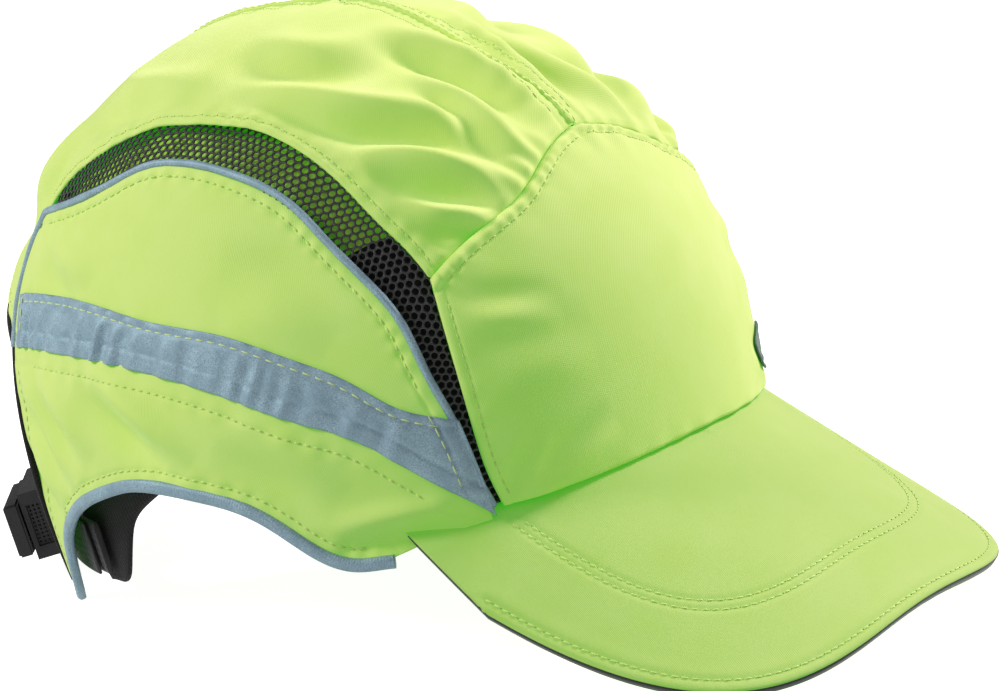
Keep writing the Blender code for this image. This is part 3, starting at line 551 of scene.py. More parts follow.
def on_dome(line, count=LINE_POINTS, start=0.0, end=1.0):
    """Points on the dome along a line of the chart."""
    return dome_point(line(np.linspace(start, end, count)))


def seams_on_dome(side, counts=FINER_LINES):
    """One side's seams as rows of points, as many as counts says."""
    return {name: on_dome(line, counts.get(name, LINE_POINTS)) for name, line in lines_of(side).items()}


def near(points, line):
    """Each point's distance from a line of points, its side (+1 left of the way), and its way along."""
    flat = points.reshape(-1, 3)
    gaps = (flat**2).sum(1)[:, None] + (line**2).sum(1)[None] - 2 * flat @ line.T
    middle = gaps.argmin(1).clip(1, len(line) - 2)
    lengths = lengths_along(line)
    found = []
    for first in (middle - 1, middle):
        start = line[first]
        way = line[first + 1] - start
        share = (((flat - start) * way).sum(1) / (way**2).sum(1)).clip(0, 1)
        offset = flat - start - share[:, None] * way
        sign = np.sign((np.cross(way, offset) * (flat - (0, 0, CROWN_HEIGHT / 3))).sum(1))
        along = lengths[first] + share * (lengths[first + 1] - lengths[first])
        found.append((np.linalg.norm(offset, axis=1), sign, along))
    closer = found[1][0] < found[0][0]
    return [np.where(closer, b, a).reshape(points.shape[:-1]) for a, b in zip(*found)]


def bump(distance, width):
    """1 at no distance, fading out over about the width."""
    return np.exp(-((distance / width) ** 2))


def ripple(points, scale, seed, count=9):
    """Soft unevenness between about -1 and 1, whose hollows lie about a scale apart."""
    chance = np.random.default_rng(seed)
    ways = unit(chance.normal(size=(count, 3))) * 2 * math.pi / scale
    ways *= chance.uniform(0.6, 1.3, (count, 1))
    return np.sin(points @ ways.T + chance.uniform(0, 2 * math.pi, count)).mean(-1) * 2


def pulse(along, pitch, seed):
    """An uneven wave along a seam."""
    drift = np.sin(along * 2 * math.pi / (pitch * 5.3) + seed)
    swell = 0.65 + 0.35 * np.sin(along * 2 * math.pi / (pitch * 7.7) + 2.3 * seed)
    return swell * np.sin(along * 2 * math.pi / pitch + 1.4 * drift + seed)


def fold(points, spots, width, height, side):
    """One long fold, listed from rear to front: its crest lies above the spots, its hollow below."""
    line = on_dome(seam(spots, side), 40, -0.02, 1.02)
    distance, sign, along = near(points, line)
    signed = -distance * sign * side
    taper = np.sin(np.clip(along / lengths_along(line)[-1], 0, 1) * math.pi) ** 1.2
    return height * taper * (bump(signed - width, width) - bump(signed + width, width))


def folds(points, table, sides=(-1, 1)):
    """All the folds of a table, on one side or both; those on the wearer's left are a little lower."""
    total = np.zeros(points.shape[:-1])
    for spots, width, height in table:
        for side in sides:
            share = 1.0 if side < 0 else LEFT_FOLD_SHARE
            total += fold(points, spots, width * MM, height * share * FOLD_DEPTH * MM, side)
    return total


def seam_relief(kind, found, side=0):
    """Grooves, puckers and folded edges; found gives the points' distances from each named line."""
    total = 0.0
    for name, offset, depth, width in GROOVES[kind]:
        total = total - depth * MM * bump(found[name][0] - offset * MM, width * MM)
    for name, offset, pitch, height, reach, seed in PUCKERS[kind]:
        distance, _, along = found[name]
        wave = height * MM * pulse(along, pitch * MM, seed + side)
        total += wave * bump(distance - offset * MM, reach * MM)
    for name in FOLDED_EDGES:
        if name in found:
            total -= EDGE_ROLL * (1 - found[name][0] / EDGE_ROLL_WIDTH).clip(0, 1) ** 2
    return total


def seams_near(points, kind, lines):
    """How the points lie to each line that the relief of this kind uses."""
    names = {row[0] for row in GROOVES[kind] + PUCKERS[kind]}
    return {name: near(points, lines[name]) for name in names}


def front_relief(points):
    """The front panel's relief, which is nearly alike on both sides."""
    height, scale, seed = UNEVEN["front"]
    total = height * ripple(points, scale, seed) + FRONT_FOLD_SHARE * folds(points, FOLDS["front"])
    corner = SEAMS["front_side"][0][0]
    brim_root = {"brim": on_dome(brim_line(-corner, corner), 200)}
    total += seam_relief("brim_root", seams_near(points, "brim_root", brim_root))
    for side in (-1, 1):
        total += seam_relief("front", seams_near(points, "front", seams_on_dome(side)), side)
    return total


def panel_relief(kind, side):
    """The relief of a crown or side panel, whose folds die out towards the net."""
    lines = seams_on_dome(side)
    height, scale, seed = UNEVEN[kind]
    net_edge = {"crown": "vent", "side": "piping"}[kind]

    def relief(points):
        found = seams_near(points, kind, lines)
        held = bump((found[net_edge][0] - FOLD_FREE).clip(0), FOLD_FADE[kind])
        total = height * ripple(points, scale, seed + side) + folds(points, FOLDS[kind], (side,)) * (1 - held)
        return total + seam_relief(kind, found, side)

    return relief


# ---------------------------------------------------------------- meshes


def stand_matrix():
    """How the crown stands on the table: leaning back a little, centred over the whole cap."""
    matrix = Matrix.Rotation(-LEAN, 4, "X")
    rear = Vector(dome_point(chart(*SEAMS["arch"][-1])))
    back = (matrix @ rear).y + REAR_MARGIN
    return Matrix.Translation((0, (BRIM_CORNER + BRIM_LENGTH - back) / 2, CROWN_LEVEL)) @ matrix


def standing(points):
    """Points of the crown's frame in the row frame, none below the table."""
    matrix = np.array(STAND)
    placed = points @ matrix[:3, :3].T + matrix[:3, 3]
    placed[..., 2] = placed[..., 2].clip(0)
    return placed


def way_out(outwards):
    """Directions of the crown's frame in the row frame."""
    return outwards @ np.array(STAND)[:3, :3].T


def new_mesh(name, points, faces, uv=None):
    """A smooth mesh, with one UV pair for each point where they are given."""
    mesh = bpy.data.meshes.new(name)
    mesh.from_pydata(points.reshape(-1, 3).tolist(), [], [tuple(face) for face in faces])
    if uv is not None:
        layer = mesh.uv_layers.new(name="UVMap")
        corners = np.empty(len(mesh.loops), np.int32)
        mesh.loops.foreach_get("vertex_index", corners)
        layer.data.foreach_set("uv", uv.reshape(-1, 2)[corners].astype(np.float32).ravel())
    mesh.shade_smooth()
    return mesh


def new_object(name, mesh, material):
    """A mesh put in the scene with its material."""
    obj = bpy.data.objects.new(name, mesh)
    bpy.context.scene.collection.objects.link(obj)
    mesh.materials.append(material)
    return obj


def grid_faces(rows, columns, flip=False, closed=False):
    """Four-sided faces over rows and columns of points; a closed grid joins its last column to its first."""
    index = np.arange(rows * columns).reshape(rows, columns)
    if closed:
        index = np.concatenate((index, index[:, :1]), axis=1)
    quads = np.stack((index[:-1, :-1], index[:-1, 1:], index[1:, 1:], index[1:, :-1]), -1).reshape(-1, 4)
    return (quads[:, ::-1] if flip else quads).tolist()


def metric_uv(points):
    """Lengths along the middle row and the middle column, in metres."""
    rows, columns = points.shape[:2]
    return np.stack(np.meshgrid(lengths_along(points[rows // 2]), lengths_along(points[:, columns // 2])), -1)


def sheet(name, points, outwards, thickness, material):
    """A sheet over rows and columns of points, which thickens inwards from its outer face."""
    middle = points.shape[0] // 2, points.shape[1] // 2
    across = points[middle[0], middle[1] + 1] - points[middle]
    up = points[middle[0] + 1, middle[1]] - points[middle]
    flip = np.dot(np.cross(across, up), outwards[middle]) < 0
    faces = grid_faces(*points.shape[:2], flip=bool(flip))
    obj = new_object(name, new_mesh(name, points, faces, metric_uv(points)), material)
    solid = obj.modifiers.new("Thickness", "SOLIDIFY")
    solid.thickness = thickness
    solid.offset = -1
    return obj


def cloth(name, places, relief, thickness, material, depth=0.0):
    """A sheet on the dome over chart points, with a relief."""
    base = dome_point(places)
    height = relief(base) - depth if relief else np.full(base.shape[:-1], -depth)
    outwards = dome_normal(places)
    return sheet(name, standing(base + outwards * height[..., None]), outwards, thickness, material)


def sweep(name, points, outwards, half_width, half_height, material, sides=16, power=2.0):
    """A trim swept along a line; its section is an oval, or squarer where the power is over 2."""
    way = unit(np.gradient(points, axis=0))
    across = unit(np.cross(way, outwards))
    up = np.cross(across, way)
    turn = np.linspace(0, 2 * math.pi, sides, endpoint=False)
    cosine = np.sign(np.cos(turn)) * np.abs(np.cos(turn)) ** (2 / power)
    sine = np.sign(np.sin(turn)) * np.abs(np.sin(turn)) ** (2 / power)
    widths = np.broadcast_to(half_width, len(points))[:, None, None]
    heights = np.broadcast_to(half_height, len(points))[:, None, None]
    rings = points[:, None] + across[:, None] * cosine[:, None] * widths
    rings = rings + up[:, None] * sine[:, None] * heights
    rings[..., 2] = rings[..., 2].clip(0)
    count = len(points)
    faces = grid_faces(count, sides, closed=True)
    faces += [list(range(sides)), list(range((count - 1) * sides, count * sides))[::-1]]
    uv = np.stack(np.broadcast_arrays(lengths_along(points)[:, None], turn * np.mean(half_width)), -1)
    obj = new_object(name, new_mesh(name, rings, faces, uv), material)
    fix_normals(obj.data)
    return obj


def fix_normals(mesh):
    """Turns every face outwards."""
    build = bmesh.new()
    build.from_mesh(mesh)
    bmesh.ops.recalc_face_normals(build, faces=build.faces)
    build.to_mesh(mesh)
    build.free()


def join_up(obj, body, slot, *nodes):
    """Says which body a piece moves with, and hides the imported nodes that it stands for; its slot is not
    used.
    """
    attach(obj, body)
    if nodes:
        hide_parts(*nodes)
    return obj


# ---------------------------------------------------------------- sewing


def resampled(points, step):
    """Points a step apart along a line of points."""
    lengths = lengths_along(points)
    places = np.arange(0, lengths[-1], step)
    return np.stack([np.interp(places, lengths, points[:, k]) for k in range(3)], -1)


def beside(line, offset):
    """Points on the dome that run beside a line; a positive offset lies to the left of its way."""
    way = unit(np.gradient(line, axis=0))
    outwards = dome_normal(place_of(line))
    return dome_point(place_of(line + unit(np.cross(outwards, way)) * offset))


def stitch_row(line, relief, lift=0.0, stitch=STITCH, gap=STITCH_GAP):
    """The ends of each stitch of a row, and the way out of the surface there, in the row frame."""
    points = resampled(line, (stitch + gap) / 4)
    places = place_of(points)
    outwards = dome_normal(places)
    height = relief(points) + lift if relief else np.full(len(points), lift)
    return stitch_ends(standing(points + outwards * height[:, None]), way_out(outwards))


def stitch_ends(points, outwards):
    """Of every four points, the first starts a stitch and the last ends it."""
    last = 4 * ((len(points) - 1) // 4)
    return points[:last:4], points[3 : last + 3 : 4], outwards[1 : last + 1 : 4]


def seam_rows(kind, side, relief):
    """The rows of stitches beside a panel's seams."""
    lines = seams_on_dome(side, ROW_LINES)
    rows = []
    for name, offset, first, last in STITCH_ROWS[kind]:
        line = beside(lines[name], side * offset * MM)
        rows.append(stitch_row(line[first : len(line) - last], relief))
    return rows


def sewn(finish, name, rows, slot="hi_vis_fabric", colour="thread", radius=THREAD_RADIUS, holes=True):
    """All the stitches of a piece: short threads that dive at both ends, and between two a dark disc, painted
    shade for a needle hole.
    """
    starts, ends, outwards = (np.concatenate([row[k] for row in rows]) for k in range(3))
    count = len(starts)
    way = unit(ends - starts)
    across = unit(np.cross(outwards, way))
    up = np.cross(way, across)
    shares = np.array((0.0, 0.16, 0.5, 0.84, 1.0))
    lifts = np.array((-1.1, 0.25, 0.55, 0.25, -1.1)) * radius
    widths = np.array((0.6, 1.0, 1.1, 1.0, 0.6)) * radius
    turn = np.linspace(0, 2 * math.pi, 6, endpoint=False)
    middle = starts[:, None] + (ends - starts)[:, None] * shares[:, None] + up[:, None] * lifts[:, None]
    ring = across[:, None] * np.cos(turn)[:, None] + up[:, None] * np.sin(turn)[:, None]
    points = (middle[:, :, None] + ring[:, None] * widths[:, None, None]).reshape(-1, 3)
    one = np.array(grid_faces(5, 6, closed=True))
    faces = (one[None] + 30 * np.arange(count)[:, None, None]).reshape(-1, 4).tolist()
    threads = len(faces)
    if holes:
        # Each disc is painted shade: a dark patch where a needle hole would lie in shade.
        centre = ends + way * STITCH_GAP / 2 + up * 0.05 * MM
        disc = centre[:, None] + ring * SHADE_DISC_RADIUS
        first = len(points)
        points = np.concatenate((points, disc.reshape(-1, 3)))
        faces += (first + np.arange(6 * count).reshape(count, 6)).tolist()
    obj = new_object(name, new_mesh(name, points, faces), finish[colour])
    if holes:
        obj.data.materials.append(finish["painted_hole_shade"])
        slots = np.zeros(len(faces), np.int32)
        slots[threads:] = 1
        obj.data.polygons.foreach_set("material_index", slots)
    return join_up(obj, "root", slot)


# ---------------------------------------------------------------- materials


def add(material, kind, inputs=None, **settings):
    """A shader node; each input is a value, or the socket that feeds it."""
    tree = material.node_tree
    node = tree.nodes.new("ShaderNode" + kind)
    for key, value in settings.items():
        setattr(node, key, value)
    for key, value in (inputs or {}).items():
        if isinstance(value, bpy.types.NodeSocket):
            tree.links.new(value, node.inputs[key])
        else:
            node.inputs[key].default_value = value
    return node


def surface(name, colour, roughness, **sockets):
    """A Principled material, with each constant set on the shader's own socket."""
    material = bpy.data.materials.new(name)
    material.use_nodes = True
    shader = material.node_tree.nodes["Principled BSDF"]
    shader.inputs["Base Color"].default_value = (*colour, 1)
    shader.inputs["Roughness"].default_value = roughness
    for key, value in sockets.items():
        shader.inputs[key.replace("_", " ")].default_value = value
    material.diffuse_color = (*colour, 1)
    return material


def feed(material, socket, value):
    """Links a node's output to one of the shader's sockets."""
    material.node_tree.links.new(value, material.node_tree.nodes["Principled BSDF"].inputs[socket])


def noise(material, coordinates, size, detail=2.0, rough=0.5):
    """Noise whose features are about the given size, in metres."""
    inputs = {"Vector": coordinates, "Scale": 1 / size, "Detail": detail, "Roughness": rough}
    return add(material, "TexNoise", inputs).outputs["Fac"]


def bands(material, coordinates, pitch, direction="X", warp=0.0):
    """Even bands across the coordinates, a pitch apart."""
    inputs = {"Vector": coordinates, "Scale": 2 * math.pi / (20 * pitch), "Distortion": warp}
    return add(material, "TexWave", inputs, bands_direction=direction).outputs["Fac"]


def maths(material, operation, first, second):
    """A sum or product, say, of two values or sockets."""
    return add(material, "Math", {0: first, 1: second}, operation=operation).outputs[0]


def mixed(material, share, first, second):
    """A colour between two, by a share."""
    return mix_node(material, {"Factor": share, "A": (*first, 1), "B": (*second, 1)})


def mix_node(material, inputs):
    """A colour mix; its colour sockets share their names with the other types' sockets."""
    node = add(material, "Mix", data_type="RGBA")
    places = {"Factor": 0, "A": 6, "B": 7}
    for key, value in inputs.items():
        socket = node.inputs[places[key]]
        if isinstance(value, bpy.types.NodeSocket):
            material.node_tree.links.new(value, socket)
        else:
            socket.default_value = value
    return node.outputs[2]


def spread(material, value, low, high):
    """The value stretched so that low becomes 0 and high becomes 1."""
    return add(material, "MapRange", {"Value": value, "From Min": low, "From Max": high}).outputs[0]


def bumped(material, height, distance, strength=1.0):
    """Fine relief in the shading only."""
    inputs = {"Height": height, "Distance": distance, "Strength": strength}
    feed(material, "Normal", add(material, "Bump", inputs).outputs[0])


def patterned(material, pattern, dark, light, smooth, rough, depth, strength):
    """Colour, roughness and bump that all follow one pattern."""
    feed(material, "Base Color", mixed(material, pattern, dark, light))
    feed(material, "Roughness", spread(material, pattern, smooth, rough))
    bumped(material, pattern, depth, strength)
    return material


def cloth_coordinates(material):
    return add(material, "UVMap").outputs[0]


def object_coordinates(material):
    return add(material, "TexCoord").outputs["Object"]


def turned(material, coordinates, angle):
    inputs = {"Vector": coordinates, "Rotation": (0, 0, math.radians(angle))}
    return add(material, "Mapping", inputs).outputs[0]


def hi_vis_cloth(name, twill=38.0, pitch=0.62 * MM, painted_shade=1.0):
    """Fluorescent polyester twill: fine slanted ribs, soft mottling, and a faint painted green glow. The last
    argument darkens all its tones, as painted shade.
    """
    plain, deep, pale = (tuple(painted_shade * part for part in tone) for tone in (HI_VIS, HI_VIS_DEEP, HI_VIS_PALE))
    # The emission is a painted green glow, which shines whatever the light and lifts the cloth's shade.
    material = surface(
        name, plain, 0.72, Sheen_Weight=0.22, Sheen_Roughness=0.45, Sheen_Tint=(1.0, 1.0, 0.75, 1),
        Emission_Color=(*HI_VIS_PAINTED_GLOW, 1), Emission_Strength=HI_VIS_PAINTED_GLOW_STRENGTH, Specular_IOR_Level=0.35,
    )
    flat = cloth_coordinates(material)
    ribs = bands(material, turned(material, flat, twill), pitch, warp=0.35)
    cross = bands(material, turned(material, flat, twill + 90), pitch * 0.8, warp=0.35)
    threads = add(material, "Math", {0: cross, 1: 0.35, 2: ribs}, operation="MULTIPLY_ADD").outputs[0]
    mottle = noise(material, object_coordinates(material), 14 * MM, 3.0)
    grain = noise(material, flat, 0.9 * MM, 2.0)
    half_grain = maths(material, "MULTIPLY", grain, 0.5)
    share = maths(material, "ADD", spread(material, mottle, 0.3, 0.7), half_grain)
    tone = mixed(material, maths(material, "MULTIPLY", share, 0.6), deep, pale)
    slight = maths(material, "MULTIPLY", ribs, 0.14)
    feed(material, "Base Color", mix_node(material, {"Factor": slight, "A": tone, "B": (*deep, 1)}))
    feed(material, "Roughness", spread(material, grain, -1.6, 1.0))
    bumped(material, maths(material, "ADD", threads, maths(material, "MULTIPLY", grain, 0.6)), 0.05 * MM, 0.6)
    return material


def reflective(name, rib=0.0):
    """Glass-bead tape or piping: grey-blue, with fine bright and dark specks."""
    material = surface(name, (0.30, 0.41, 0.49), 0.5, Metallic=0.25, Specular_IOR_Level=0.35)
    place = object_coordinates(material)
    beads = noise(material, place, 0.34 * MM, 2.0, 0.7)
    cloud = noise(material, place, 5 * MM, 3.0)
    tone = mixed(material, spread(material, beads, 0.32, 0.68), (0.14, 0.235, 0.295), (0.38, 0.53, 0.60))
    inputs = {"Factor": spread(material, cloud, 0.35, 0.9), "A": tone, "B": (0.17, 0.27, 0.33, 1)}
    feed(material, "Base Color", mix_node(material, inputs))
    feed(material, "Roughness", spread(material, beads, -0.6, 1.3))
    height = beads
    if rib:
        ribs = bands(material, cloth_coordinates(material), rib)
        height = maths(material, "ADD", maths(material, "MULTIPLY", beads, 0.4), ribs)
    bumped(material, height, 0.06 * MM, 0.7)
    return material


def black_cloth(name, pitch=0.9 * MM, tone=0.018):
    """Black knitted lining: fine ribs one way, finer ones across."""
    material = surface(
        name, (tone, tone, tone * 1.05), 0.82, Sheen_Weight=0.04, Sheen_Roughness=0.5, Specular_IOR_Level=0.25
    )
    flat = cloth_coordinates(material)
    ribs = bands(material, flat, pitch, warp=0.4)
    cross = bands(material, flat, pitch * 0.6, "Y", warp=0.4)
    weave = maths(material, "MULTIPLY", ribs, cross)
    grain = noise(material, object_coordinates(material), 0.6 * MM, 2.0)
    dark, light = (tone * 0.45,) * 3, (tone * 2.2, tone * 2.2, tone * 2.35)
    feed(material, "Base Color", mixed(material, maths(material, "MULTIPLY", weave, grain), dark, light))
    feed(material, "Roughness", spread(material, grain, -2.2, 1.1))
    bumped(material, maths(material, "ADD", weave, maths(material, "MULTIPLY", grain, 0.5)), 0.14 * MM, 0.8)
    return material


def webbing(name):
    """Woven strap: ribs across it, each crossed by the rows of its warp."""
    material = surface(name, (0.016, 0.016, 0.017), 0.62, Sheen_Weight=0.10, Specular_IOR_Level=0.4)
    flat = cloth_coordinates(material)
    ribs = bands(material, flat, RIB_PITCH)
    rows = bands(material, flat, 0.9 * MM, "Y")
    weave = maths(material, "MULTIPLY", ribs, rows)
    dark, light = (0.007, 0.007, 0.008), (0.045, 0.046, 0.048)
    return patterned(material, weave, dark, light, -1.4, 1.4, 0.2 * MM, 0.9)


def net_yarn(name):
    """Matt black yarn with fine fibres."""
    material = surface(name, (0.010, 0.011, 0.010), 0.55, Specular_IOR_Level=0.45)
    fibres = noise(material, object_coordinates(material), 0.25 * MM, 3.0)
    dark, light = (0.004, 0.005, 0.004), (0.026, 0.028, 0.026)
    return patterned(material, fibres, dark, light, -0.9, 1.5, 0.05 * MM, 0.6)


def foam(name):
    """Closed-cell foam: tiny pits all over."""
    material = surface(name, (0.022, 0.022, 0.024), 0.9)
    place = object_coordinates(material)
    cells = add(material, "TexVoronoi", {"Vector": place, "Scale": 1 / (0.9 * MM)}).outputs["Distance"]
    dark, light = (0.009, 0.009, 0.010), (0.045, 0.045, 0.048)
    return patterned(material, cells, dark, light, -6.0, 1.5, 0.25 * MM, 0.7)


def plastic(name, colour, dark, roughness=0.38, grain=0.45 * MM, sheen=0.5):
    """Moulded plastic with a spark-eroded grain and slightly rubbed high spots."""
    material = surface(name, colour, roughness, Specular_IOR_Level=sheen)
    place = object_coordinates(material)
    fine = noise(material, place, grain, 3.0, 0.6)
    broad = noise(material, place, 9 * MM, 3.0)
    feed(material, "Base Color", mixed(material, spread(material, broad, 0.25, 0.75), dark, colour))
    feed(material, "Roughness", spread(material, fine, -roughness * 2.2, 1.9))
    bumped(material, fine, 0.05 * MM, 0.55)
    return material


def steel(name):
    """Drawn steel with fine scratches."""
    material = surface(name, (0.50, 0.50, 0.51), 0.28, Metallic=1.0)
    scratches = noise(material, object_coordinates(material), 0.3 * MM, 4.0, 0.7)
    dark, light = (0.36, 0.36, 0.37), (0.60, 0.60, 0.61)
    return patterned(material, scratches, dark, light, -0.6, 2.2, 0.02 * MM, 0.5)


def thread(name, colour, dark):
    """Twisted sewing thread."""
    material = surface(name, colour, 0.6, Sheen_Weight=0.2)
    twist = noise(material, object_coordinates(material), 0.3 * MM, 2.0)
    return patterned(material, twist, dark, colour, -1.0, 1.5, 0.05 * MM, 0.6)


def patch_cloth(name):
    """A plain dark green woven patch."""
    material = surface(name, (0.012, 0.085, 0.040), 0.6, Sheen_Weight=0.15)
    flat = cloth_coordinates(material)
    across, along = bands(material, flat, 0.55 * MM), bands(material, flat, 0.55 * MM, "Y")
    weave = maths(material, "MULTIPLY", across, along)
    dark, light = (0.008, 0.060, 0.028), (0.018, 0.120, 0.056)
    return patterned(material, weave, dark, light, -2.0, 1.8, 0.1 * MM, 0.8)


def finishes():
    """Every material, by a short name."""
    return {
        "fabric": hi_vis_cloth("hi_vis_fabric"),
        # The brim's cloth is the same fabric with all its tones at 0.69: painted shade.
        "brim_fabric_painted_shade": hi_vis_cloth("hi_vis_brim_fabric_painted_shade", 0.0, 0.5 * MM, 0.69),
        "tape": reflective("reflective_tape"),
        "binding": reflective("reflective_binding", 0.75 * MM),
        "lining": black_cloth("black_lining", 1.3 * MM, 0.007),
        "binding_black": black_cloth("black_binding", 0.7 * MM, 0.007),
        "terry": black_cloth("sweatband_cloth", 1.0 * MM, 0.010),
        "net": net_yarn("vent_net"),
        "foam": foam("pad_foam"),
        "shell": plastic("shell_polymer", (0.40, 0.74, 0.06), (0.33, 0.66, 0.04), 0.42, 0.7 * MM),
        "board": plastic("brim_board_plastic", (0.014, 0.016, 0.014), (0.009, 0.011, 0.009), 0.45),
        "plastic": plastic("buckle_plastic", (0.010, 0.011, 0.011), (0.006, 0.007, 0.007), 0.40, sheen=0.3),
        "webbing": webbing("strap_webbing"),
        "steel": steel("pin_steel"),
        "thread": thread("hi_vis_thread", (0.66, 0.84, 0.26), (0.50, 0.72, 0.14)),
        "pale_thread": thread("pale_thread", (0.72, 0.86, 0.42), (0.52, 0.70, 0.26)),
        # Painted shade for the needle holes between stitches.
        "painted_hole_shade": surface("needle_hole_painted_shade", (0.05, 0.11, 0.02), 0.9),
        "patch": patch_cloth("green_patch_cloth"),
    }


# ---------------------------------------------------------------- the crown's panels and trims


def front_panel(finish):
    """The front panel, under both ridges and over the brim's root."""
    right, left = lines_of(-1), lines_of(1)
    top = chain(flipped(right["ridge"]), left["ridge"], 0.5)
    corner = SEAMS["front_side"][0][0]
    bottom = lowered(brim_line(-corner, corner), FRONT_TUCK)
    places = grid(bottom, top, right["front_side"], left["front_side"], 220, 110)
    obj = cloth("front_panel_cloth", places, front_relief, HEM_FOLD, finish["fabric"])
    join_up(obj, "root", "hi_vis_fabric", "front_panel")
    rows = [row for side in (-1, 1) for row in seam_rows("front", side, front_relief)]
    sewn(finish, "front_panel_stitches", rows)


def crown_panel(finish, word, side):
    """Half of the crown, from the vent up to the middle seam."""
    lines = lines_of(side)
    bottom = chain(lines["vent"], lines["drop"], 0.8)
    places = grid(bottom, lines["middle"], flipped(lines["ridge"]), lines["arch"], 260, 120)
    relief = panel_relief("crown", side)
    name = "crown_panel_" + word
    obj = cloth(name + "_cloth", places, relief, HEM_FOLD, finish["fabric"])
    join_up(obj, "root", "hi_vis_fabric", name)
    sewn(finish, name + "_stitches", seam_rows("crown", side, relief))


def centre_strip(finish):
    """The felled seam along the top, with a row of stitches near each edge."""
    count, columns = 150, 13
    line = on_dome(part_of(centre_line(), 0.001, 0.985), count)
    right, left = panel_relief("crown", -1), panel_relief("crown", 1)
    shares = np.linspace(-0.5, 0.5, columns)
    aside = np.array((CENTRE_STRIP_WIDTH, 0, 0)) * shares[:, None]
    base = dome_point(place_of(line[:, None] + aside))
    below = np.where(base[..., 0] < 0, right(base), left(base))
    lift = CENTRE_STRIP_LIFT * (1 - (2 * np.abs(shares)) ** 6) + 0.05 * MM
    ridged = 0.12 * MM * pulse(np.linspace(0, 0.22, count), 0.006, 2)[:, None]
    outwards = dome_normal(place_of(base))
    points = standing(base + outwards * (below + lift + ridged * (1 - (2 * np.abs(shares)) ** 2))[..., None])
    obj = sheet("crown_seam_strip", points, outwards, 0.4 * MM, finish["fabric"])
    join_up(obj, "root", "hi_vis_fabric", "crown_seam_tape")
    rows = []
    for offset, relief in ((-CENTRE_ROW, right), (CENTRE_ROW, left)):
        row = dome_point(place_of(line + np.array((offset, 0, 0))))
        rows.append(stitch_row(row, relief, CENTRE_STRIP_LIFT))
    sewn(finish, "crown_seam_stitches", rows, holes=False)


def side_panel(finish, word, side):
    """The panel under the vent; its lower edge blends from the brim's root into the hem."""
    lines = lines_of(side)
    relief = panel_relief("side", side)
    root = brim_line(side * (PIPING_FOOT[0] + SIDE_FOOT_LEAD), side * SEAMS["hem"][0][0])
    gap = lines["hem"](0) - root(1)
    bottom = chain(lambda u: root(u) + gap * (u * u)[..., None], lines["hem"], 0.2)
    rear = chain(lines["wing_rear"], flipped(lines["drop"]), 0.62)
    front = straight(bottom(0), lines["piping"](0))
    places = grid(bottom, lines["piping"], front, rear, 250, 140)
    name = "side_panel_" + word
    obj = cloth(name + "_cloth", places, relief, CLOTH, finish["fabric"])
    join_up(obj, "root", "hi_vis_fabric", name)
    rows = seam_rows("side", side, relief)
    sewn(finish, name + "_stitches", rows, radius=SIDE_THREAD_RADIUS, holes=False)


def band_relief(side):
    """The reflective band lies on the side panel and ripples across its width."""
    lines = seams_on_dome(side)
    below = panel_relief("side", side)

    def relief(points):
        distance, _, along = near(points, lines["band_top"])
        loose = 1 - bump(distance - BAND_ROW_INSET, 2.0 * MM)
        fade = 0.55 + 0.45 * ((along - BAND_CALM) / BAND_FADE).clip(0, 1)
        wave = pulse(along, BAND_RIPPLE, 1 + side) + 0.6 * pulse(along, BAND_FINE_RIPPLE, 4 + side)
        lift = BAND_LIFT + BAND_WAVE * (wave * loose * fade).clip(-0.85, 1.4)
        lift -= 0.25 * MM * bump(distance - BAND_ROW_INSET, 0.5 * MM)
        return below(points) + lift - 0.25 * MM * bump(near(points, lines["band_bottom"])[0], 0.8 * MM)

    return relief


def reflective_band(finish, word, side):
    """The tape band, with one row of stitches near its top, its rear end and the piping."""
    lines = lines_of(side)
    relief = band_relief(side)
    low, high = part_of(lines["band_bottom"], -0.045, 1), part_of(lines["band_top"], -0.02, 1)
    name = "reflective_band_" + word
    obj = cloth(name + "_tape", strip(low, high, 260, 30), relief, 0.35 * MM, finish["tape"])
    join_up(obj, "root", "reflective_tape", name)
    top, bottom, piping = (on_dome(lines[key], 160) for key in ("band_top", "band_bottom", "piping"))
    rear = dome_point(straight(high(0.985), low(0.985))(np.linspace(0.03, 0.97, 30)))
    across = beside(piping, -side * BAND_FRONT_ROW)
    level = across[:, 2] - BAND_ROW_MARGIN
    front = across[(level > bottom[:, 2].min()) & (level < top[:, 2].min())]
    rows = []
    for row in (beside(top, -side * BAND_ROW_INSET)[3:-2], rear, front):
        rows.append(stitch_row(row, relief, 0.02 * MM, BAND_STITCH, BAND_STITCH_GAP))
    sewn(finish, name + "_stitches", rows, "reflective_tape", "pale_thread", holes=False)


def trims(finish, word, side):
    """The tube-like piping over the vent, and the tape bound round the hem."""
    lines = lines_of(side)
    start = straight(chart(*PIPING_FOOT, side), lines["piping"](0))(np.linspace(0, 1, 12)[:-1])
    over = lines["piping"](np.linspace(0, 1, 260))
    down = lines["drop"](np.linspace(0, 1, 40)[1:])
    places = np.concatenate((start, over, down))
    uneven = 0.10 * MM * ripple(dome_point(places), 0.012, 31)
    points = standing(raised(places, uneven - PIPING_SINK))
    thick = PIPING_RADIUS * (1 + 0.05 * ripple(dome_point(places), 0.009, 33))
    outwards = way_out(dome_normal(places))
    piping = sweep("vent_piping_" + word + "_tube", points, outwards, thick, thick, finish["tape"])
    join_up(piping, "root", "reflective_tape", "vent_piping_" + word)
    places = lines["hem"](np.linspace(-0.02, 1, 300))
    points = standing(raised(places, 0.08 * MM * ripple(dome_point(places), 0.011, 35) - HEM_SINK))
    binding = sweep(
        "hem_binding_" + word + "_tape", points, way_out(dome_normal(places)), BINDING_HALF_WIDTH,
        BINDING_HALF_THICKNESS, finish["binding"], 18, 2.4,
    )
    join_up(binding, "root", "reflective_tape", "hem_binding_" + word)


